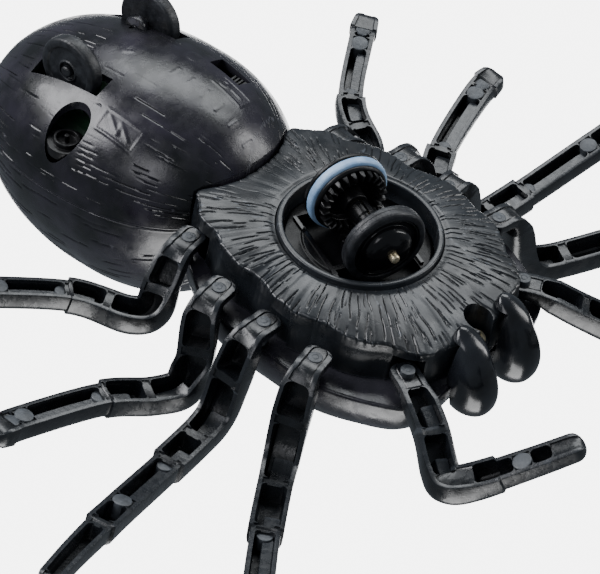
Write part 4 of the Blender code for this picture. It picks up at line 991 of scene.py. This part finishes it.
def turret():
    sh = lathe([(0, 16.0), (11.5, 16.0), (11.9, 16.25), (15.2, 16.25), (15.65, 16.6), (15.65, 17.8),
                (17.3, 17.8), (17.3, 18.8), (0, 18.8)], (0, 0, 0), VERTICAL, 128, 0.25)
    disc = build("turret_dish", sh, DISH_M, "turret", ["turret_disc"])
    boss = lathe([(0, -2.4), (2.1, -2.4), (2.35, -2.0), (2.35, 1.2), (2.15, 1.5), (2.15, 6.1), (0, 6.1)],
                 on_axle(0), AX, 48, 0.15)
    steps = [("DIFFERENCE", block((-10.9, -8.6, 10), (13.0, 8.6, 25), AXLE_DIR)),
             ("UNION", block((4.9, -8.9, 16.3), (6.1, 8.9, 18.6), AXLE_DIR)),
             ("UNION", block((4.95, -3.2, AXLE_Z + 0.5), (6.05, 3.2, 17.4), AXLE_DIR)),
             ("UNION", boss),
             ("DIFFERENCE", block((-3, -0.28, 5.0), (4.4, 0.28, 9.0), AXLE_DIR)),
             ("DIFFERENCE", rod(1.06, on_axle(-6), AX, 20))]
    cut(disc, steps)
    # thin raised lips along the slot's long edges
    lips = join([block((-10.6, y - 0.35, 15.7), (10.4, y + 0.35, 16.2), AXLE_DIR) for y in (9.4, -9.4)])
    build("turret_lips", lips, GLOSS, "turret", ())

    # wheel A with its crown gear
    hub = lathe([(1.0, -9.6), (3.2, -9.6), (3.4, -9.2), (8.75, -9.2), (8.92, -9.0), (8.92, -8.35), (8.6, -8.12),
                 (7.7, -8.1), (7.7, -6.0), (8.2, -5.9), (8.2, -5.45), (7.75, -5.05), (5.5, -5.05), (5.3, -6.4),
                 (2.7, -6.4), (2.6, -3.0), (1.0, -2.9)], on_axle(0), AX, 96, 0.15)
    teeth = []
    for k in range(CROWN_TEETH):
        th = 2 * PI * (k + 0.5) / CROWN_TEETH
        ur = Vector((0, 0, 1)) * math.cos(th) + EX * math.sin(th)
        ut = AX.cross(ur)
        rows = []
        for s, w, r0, r1 in ((-5.3, 0.54, 5.55, 7.5), (-4.6, 0.46, 5.6, 7.5), (-3.75, 0.30, 5.7, 7.45),
                             (-3.4, 0.20, 5.85, 7.3), (-3.3, 0.10, 6.05, 7.1)):
            c = on_axle(s)
            ring = []
            for r, sg in ((r0, -1), (r0 + 0.12, -1), (r1 - 0.12, -1), (r1, -1), (r1, 1), (r1 - 0.12, 1),
                          (r0 + 0.12, 1), (r0, 1)):
                q = 0.7 if r in (r0, r1) else 1.0
                ring.append(c + ur * r + ut * (sg * w * q * r / 6.8))
            rows.append(ring)
        t = Shape()
        t.cap_ends(t.grid(np.array([[list(v) for v in r] for r in rows]), cv=True))
        teeth.append(t)
    build("crown_wheel", join([hub] + teeth), INNER, "drive_wheel", ["drive_wheel_hub"],
          HUB_SHARP)
    tyre = lathe([(7.75, -8.05), (8.7, -8.08), (8.96, -7.8), (9.0, -7.2), (8.96, -6.6), (8.75, -6.15),
                  (8.3, -5.98), (7.75, -6.02)], on_axle(0), AX, 128, 0.2)
    build("pale_band", tyre, TYRE, "drive_wheel", ["drive_wheel_tyre"])
    axle = lathe([(0, -9.3), (0.98, -9.3), (0.98, 13.9), (0.75, 14.18), (0, 14.2)], on_axle(0), AX, 32, 0.12)
    build("axle_rod", axle, ZINC, "drive_wheel", ["drive_axle"])

    # wheel B
    hub = lathe([(1.06, 7.0), (2.4, 7.0), (2.4, 7.6), (7.3, 7.6), (7.3, 10.25), (6.85, 10.35), (6.6, 9.85),
                 (5.6, 9.8), (5.45, 10.6), (5.1, 11.4), (4.3, 12.05), (3.2, 12.5), (2.0, 12.7), (1.06, 12.75)],
                on_axle(0), AX, 96, 0.2)
    build("free_hub_dome", hub, GLOSS, "free_wheel", ["free_wheel_hub"])
    tyre = lathe([(7.4, 7.3), (8.4, 7.3), (8.85, 7.5), (9.0, 7.9), (9.0, 8.65), (8.93, 8.72), (9.0, 8.8),
                  (9.0, 9.75), (8.8, 10.2), (8.4, 10.45), (7.4, 10.5)], on_axle(0), AX, 128, 0.12)
    build("free_tyre_ring", tyre, RUBBER, "free_wheel", ["free_wheel_tyre"])
    # pinion on the turret's axis
    rows = []
    for z, q in ((15.0, 0.94), (15.15, 1.0), (16.85, 1.0), (17.0, 0.94)):
        ring = []
        for k in range(PINION_TEETH):
            mid = PI + 2 * PI * k / PINION_TEETH
            for da, r in ((-0.40, 2.6), (-0.26, 2.75), (-0.17, 3.4), (-0.11, 3.82), (0.0, 3.9), (0.11, 3.82),
                          (0.17, 3.4), (0.26, 2.75), (0.40, 2.6)):
                th = mid + da * 2 * PI / PINION_TEETH
                v = AX * math.cos(th) + EX * math.sin(th)
                ring.append((v.x * r * q, v.y * r * q, z))
        rows.append(ring)
    sh = Shape()
    idx = sh.grid(np.array(rows), cv=True)
    sh.cap(idx[0], (0, 0, 15.0))
    sh.cap(idx[-1], (0, 0, 17.0))
    shaft = lathe([(0, 16.5), (1.2, 16.5), (1.2, 27.0), (0, 27.0)], (0, 0, 0), VERTICAL, 32, 0.2)
    build("pinion_gear", join([sh, shaft]), CASE, "pinion", ["drive_pinion"], HUB_SHARP)


def rear_wheels():
    h = RW_WIDTH / 2
    for s, nm, sd in SIDES:
        c = Vector((s * RW_X, RW_Y, RW_R))
        disc = lathe([(1.0, -h), (6.6, -h), (7.15, -h + 0.2), (7.42, -h + 0.6), (7.5, -0.6), (7.5, 0.6),
                      (7.42, h - 0.6), (7.15, h - 0.2), (6.6, h), (5.7, h - 0.05), (5.3, h - 0.4),
                      (2.6, h - 0.4), (2.3, h - 0.1), (2.1, h - 0.1), (2.0, h - 0.9), (1.0, h - 1.0)],
                     c, (s, 0, 0), 96, 0.15)
        build("rear_disc_" + nm, disc, RUBBER, "rear_wheel_" + sd, ["rear_wheel_" + nm])
        pin = lathe([(0, -5.2), (0.92, -5.2), (0.92, h - 0.7), (1.3, h - 0.7), (1.3, h + 0.3), (0.9, h + 0.6),
                     (0, h + 0.7)], c, (s, 0, 0), 32, 0.15)
        build("rear_boss_" + nm, pin, RUBBER, "body", ["rear_pin_" + nm])


def fangs():
    # z, x, y, x radius, y radius
    data = [(12.9, 6.9, -32.2, 0.5, 0.6), (13.4, 6.9, -32.6, 1.6, 1.5), (14.8, 7.0, -33.7, 2.9, 3.0),
            (16.6, 7.0, -34.6, 3.6, 4.0), (19.2, 7.1, -35.4, 4.2, 4.7), (22.0, 7.2, -36.2, 4.7, 5.6),
            (25.0, 7.2, -36.8, 4.8, 5.9), (28.0, 7.1, -37.0, 4.5, 5.6), (30.4, 7.0, -36.9, 3.6, 4.7),
            (32.0, 6.9, -36.7, 2.0, 2.9), (32.5, 6.9, -36.6, 0.6, 0.9)]
    n, m = 64, 60
    t = 2 * PI * np.arange(n) / n
    for s, nm, _ in SIDES:
        rows = []
        for i in range(m + 1):
            z, x, y, rx, ry = catmull_rows(data, (len(data) - 1) * i / m)
            ridge = 1 + 0.035 * np.exp(-((np.mod(t + PI / 2 + 0.35 * s + PI, 2 * PI) - PI) / 0.22) ** 2)
            rows.append(np.stack([s * (x + rx * np.cos(t) * ridge), y + ry * np.sin(t) * ridge,
                                  np.full(n, z)], 1))
        sh = Shape()
        sh.cap_ends(sh.grid(np.array(rows), cv=True))
        ob = build("fang_%s_skin" % nm, sh, FANG_M, "body", ["fang_" + nm])
        cut(ob, [("DIFFERENCE", prism(PLATE, 1.85, 14.75, 26.0)),
                 ("DIFFERENCE", prism(BACK, 0.35, SEAM_Z, 40.0))])


def catmull_rows(rows, t):
    """Rows of (z, x, y, x radius, y radius) joined smoothly, radii kept above 0.3 mm."""
    last = len(rows) - 1
    i = min(int(t), last - 1)
    v = spline(*(np.array(rows[min(last, max(0, j))]) for j in range(i - 1, i + 3)), t - i)
    v[3:] = np.maximum(v[3:], 0.3)
    return v


def fittings():
    # the screw takes the brightened material, painted light against the shade of its recess
    sh = lathe([(0, 20.15), (0.8, 20.17), (1.5, 20.25), (2.1, 20.45), (2.4, 20.7), (2.5, 21.0), (2.45, 21.25),
                (1.25, 21.3), (1.25, 23.5), (0, 24.1)], (0, SCREW_Y, 0), VERTICAL)
    screw = build("screw_head", sh, SCREW_BRIGHTENED_M, "body", ["front_screw"])
    c, rot = (0, SCREW_Y, 20), math.radians(35)
    cut(screw, [("DIFFERENCE", block((-1.5, SCREW_Y - 0.35, 19), (1.5, SCREW_Y + 0.35, 20.95), rot, c)),
                ("DIFFERENCE", block((-0.35, SCREW_Y - 1.5, 19), (0.35, SCREW_Y + 1.5, 20.95), rot, c))])
    sh = lathe([(0, 15.6), (0.55, 15.6), (0.55, 17.4), (2.2, 17.4), (2.2, 16.2), (2.8, 16.2), (2.8, 17.4),
                (4.1, 17.4), (4.1, 19.5), (0, 19.5)], (SOCKET_X, SOCKET_Y, 0), VERTICAL, r=0.12)
    build("socket_ring", sh, INNER, "body", ["charging_socket"])
    knob = build("switch_slider", block((-13.1, 42.5, 8.25), (-9.7, 45.9, 14.2)), INNER, "switch",
                 ["switch_knob"])
    cut(knob, [("DIFFERENCE", block((-14, y - 0.2, 7.6), (-9, y + 0.2, 8.8))) for y in (43.3, 44.2, 45.1)])
    md = knob.modifiers.new("edge", "BEVEL")
    md.width, md.segments, md.limit_method = 0.00018, 3, "ANGLE"
    for s, nm, _ in SIDES:
        d = Vector((s * 0.30, -0.86, 0.42)).normalized()
        sh = lathe([(0, 3.0), (1.9, 3.0), (2.0, 3.4), (1.98, 4.0), (1.85, 4.6), (1.55, 5.1), (1.0, 5.55),
                    (0.5, 5.72), (0, 5.78)], (s * 6.0, -26.5, 33.2), d, 48)
        build("eye_%s_bead" % nm, sh, EYE, "body", ["eye_" + nm])
    for node, mat in (("circuit_board", BOARD), ("battery_cell_left", WRAP), ("battery_cell_right", WRAP),
                      ("chassis_plate", CASE), ("gearbox_case", CASE), ("motor_can", CASE)):
        for sl in frame["nodes"][node].material_slots:
            sl.material = mat


belly_plate()
carapace()
abdomen()
legs()
turret()
rear_wheels()
fangs()
fittings()
ride_all()


# ------------------------------------------------- floor, light and camera
def stage():
    me = bpy.data.meshes.new("floor")
    s = 3.0
    me.from_pydata([(-s, -s, 0), (s, -s, 0), (s, s, 0), (-s, s, 0)], [], [(0, 1, 2, 3)])
    ob = bpy.data.objects.new("floor", me)
    bpy.context.scene.collection.objects.link(ob)
    m = bpy.data.materials.new("floor_paper")
    m.use_nodes = True
    nt = m.node_tree
    b = nt.nodes["Principled BSDF"]
    b.inputs["Base Color"].default_value = (0.86, 0.86, 0.87, 1)
    b.inputs["Roughness"].default_value = 0.8
    geo = nt.nodes.new("ShaderNodeNewGeometry")
    clear = nt.nodes.new("ShaderNodeBsdfTransparent")
    mix = nt.nodes.new("ShaderNodeMixShader")
    nt.links.new(geo.outputs["Backfacing"], mix.inputs["Fac"])
    nt.links.new(b.outputs["BSDF"], mix.inputs[1])
    nt.links.new(clear.outputs["BSDF"], mix.inputs[2])
    nt.links.new(mix.outputs["Shader"], nt.nodes["Material Output"].inputs["Surface"])
    me.materials.append(m)
    # lights below it still reach the belly
    ob.visible_shadow = ob.visible_diffuse = ob.visible_glossy = ob.visible_transmission = False

    # the background is white paper to the camera and dim for all other rays
    w = bpy.data.worlds.new("studio")
    bpy.context.scene.world = w
    w.use_nodes = True
    nt = w.node_tree
    bg = nt.nodes["Background"]
    bg.inputs["Color"].default_value = (0.80, 0.90, 1.0, 1)
    bg.inputs["Strength"].default_value = 0.24
    paper = nt.nodes.new("ShaderNodeBackground")
    paper.inputs["Color"].default_value = (1.0, 1.0, 1.0, 1)
    paper.inputs["Strength"].default_value = 6.0
    path = nt.nodes.new("ShaderNodeLightPath")
    mix = nt.nodes.new("ShaderNodeMixShader")
    nt.links.new(path.outputs["Is Camera Ray"], mix.inputs["Fac"])
    nt.links.new(bg.outputs["Background"], mix.inputs[1])
    nt.links.new(paper.outputs["Background"], mix.inputs[2])
    nt.links.new(mix.outputs["Shader"], nt.nodes["World Output"].inputs["Surface"])


def area(name, loc, aim, size, watts, colour=(1, 1, 1)):
    li = bpy.data.lights.new(name, "AREA")
    li.shape = "RECTANGLE"
    li.size, li.size_y = size
    li.energy = watts
    li.color = colour
    ob = bpy.data.objects.new(name, li)
    ob.location = loc
    ob.rotation_euler = (Vector(aim) - Vector(loc)).to_track_quat("-Z", "Y").to_euler()
    bpy.context.scene.collection.objects.link(ob)


def camera():
    right, up, back = Vector((-0.6356, -0.7606, -0.1321)), Vector((-0.4684, 0.5160, -0.7172)), \
        Vector((0.6137, -0.3940, -0.6842))
    at = Vector((0, Y0, RIM_Z)) + back * 600 - right * 12.41 - up * 12.27
    cd = bpy.data.cameras.new("camera")
    cd.lens, cd.sensor_width, cd.clip_start, cd.clip_end = 176.84, 36.0, 0.02, 20.0
    cam = bpy.data.objects.new("camera", cd)
    m = Matrix((right, up, back)).transposed().to_4x4()
    m.translation = at * MM
    cam.matrix_world = m
    bpy.context.scene.collection.objects.link(cam)
    bpy.context.scene.camera = cam
    return right, up, back


stage()
RIGHT, UP, BACKV = camera()
C0, REACH = Vector((0, 0, 0.02)), 0.9
area("sheen_top", C0 + (UP * 0.95 + RIGHT * 0.20 + BACKV * 0.10) * REACH, C0, (0.9, 0.40), 7.0,
     (0.95, 0.98, 1.0))
area("key_left", C0 + (BACKV * 0.40 - RIGHT * 0.70 + UP * 0.60) * REACH, C0, (0.6, 0.45), 10.0,
     (0.97, 0.97, 1.0))
area("soft_front", C0 + (BACKV * 0.90 - RIGHT * 0.30 + UP * 0.05) * REACH, C0, (0.35, 0.35), 1.4,
     (0.95, 0.95, 1.0))
area("edge_right", C0 + (BACKV * 0.1 + RIGHT * 0.95 + UP * 0.35) * REACH, C0, (0.25, 0.6), 4.0)
area("over_key", (0.5, -0.5, 0.9), (0, 0, 0.03), (0.7, 0.7), 11.0)
area("over_fill", (-0.7, 0.4, 0.6), (0, 0, 0.03), (0.7, 0.5), 5.0)
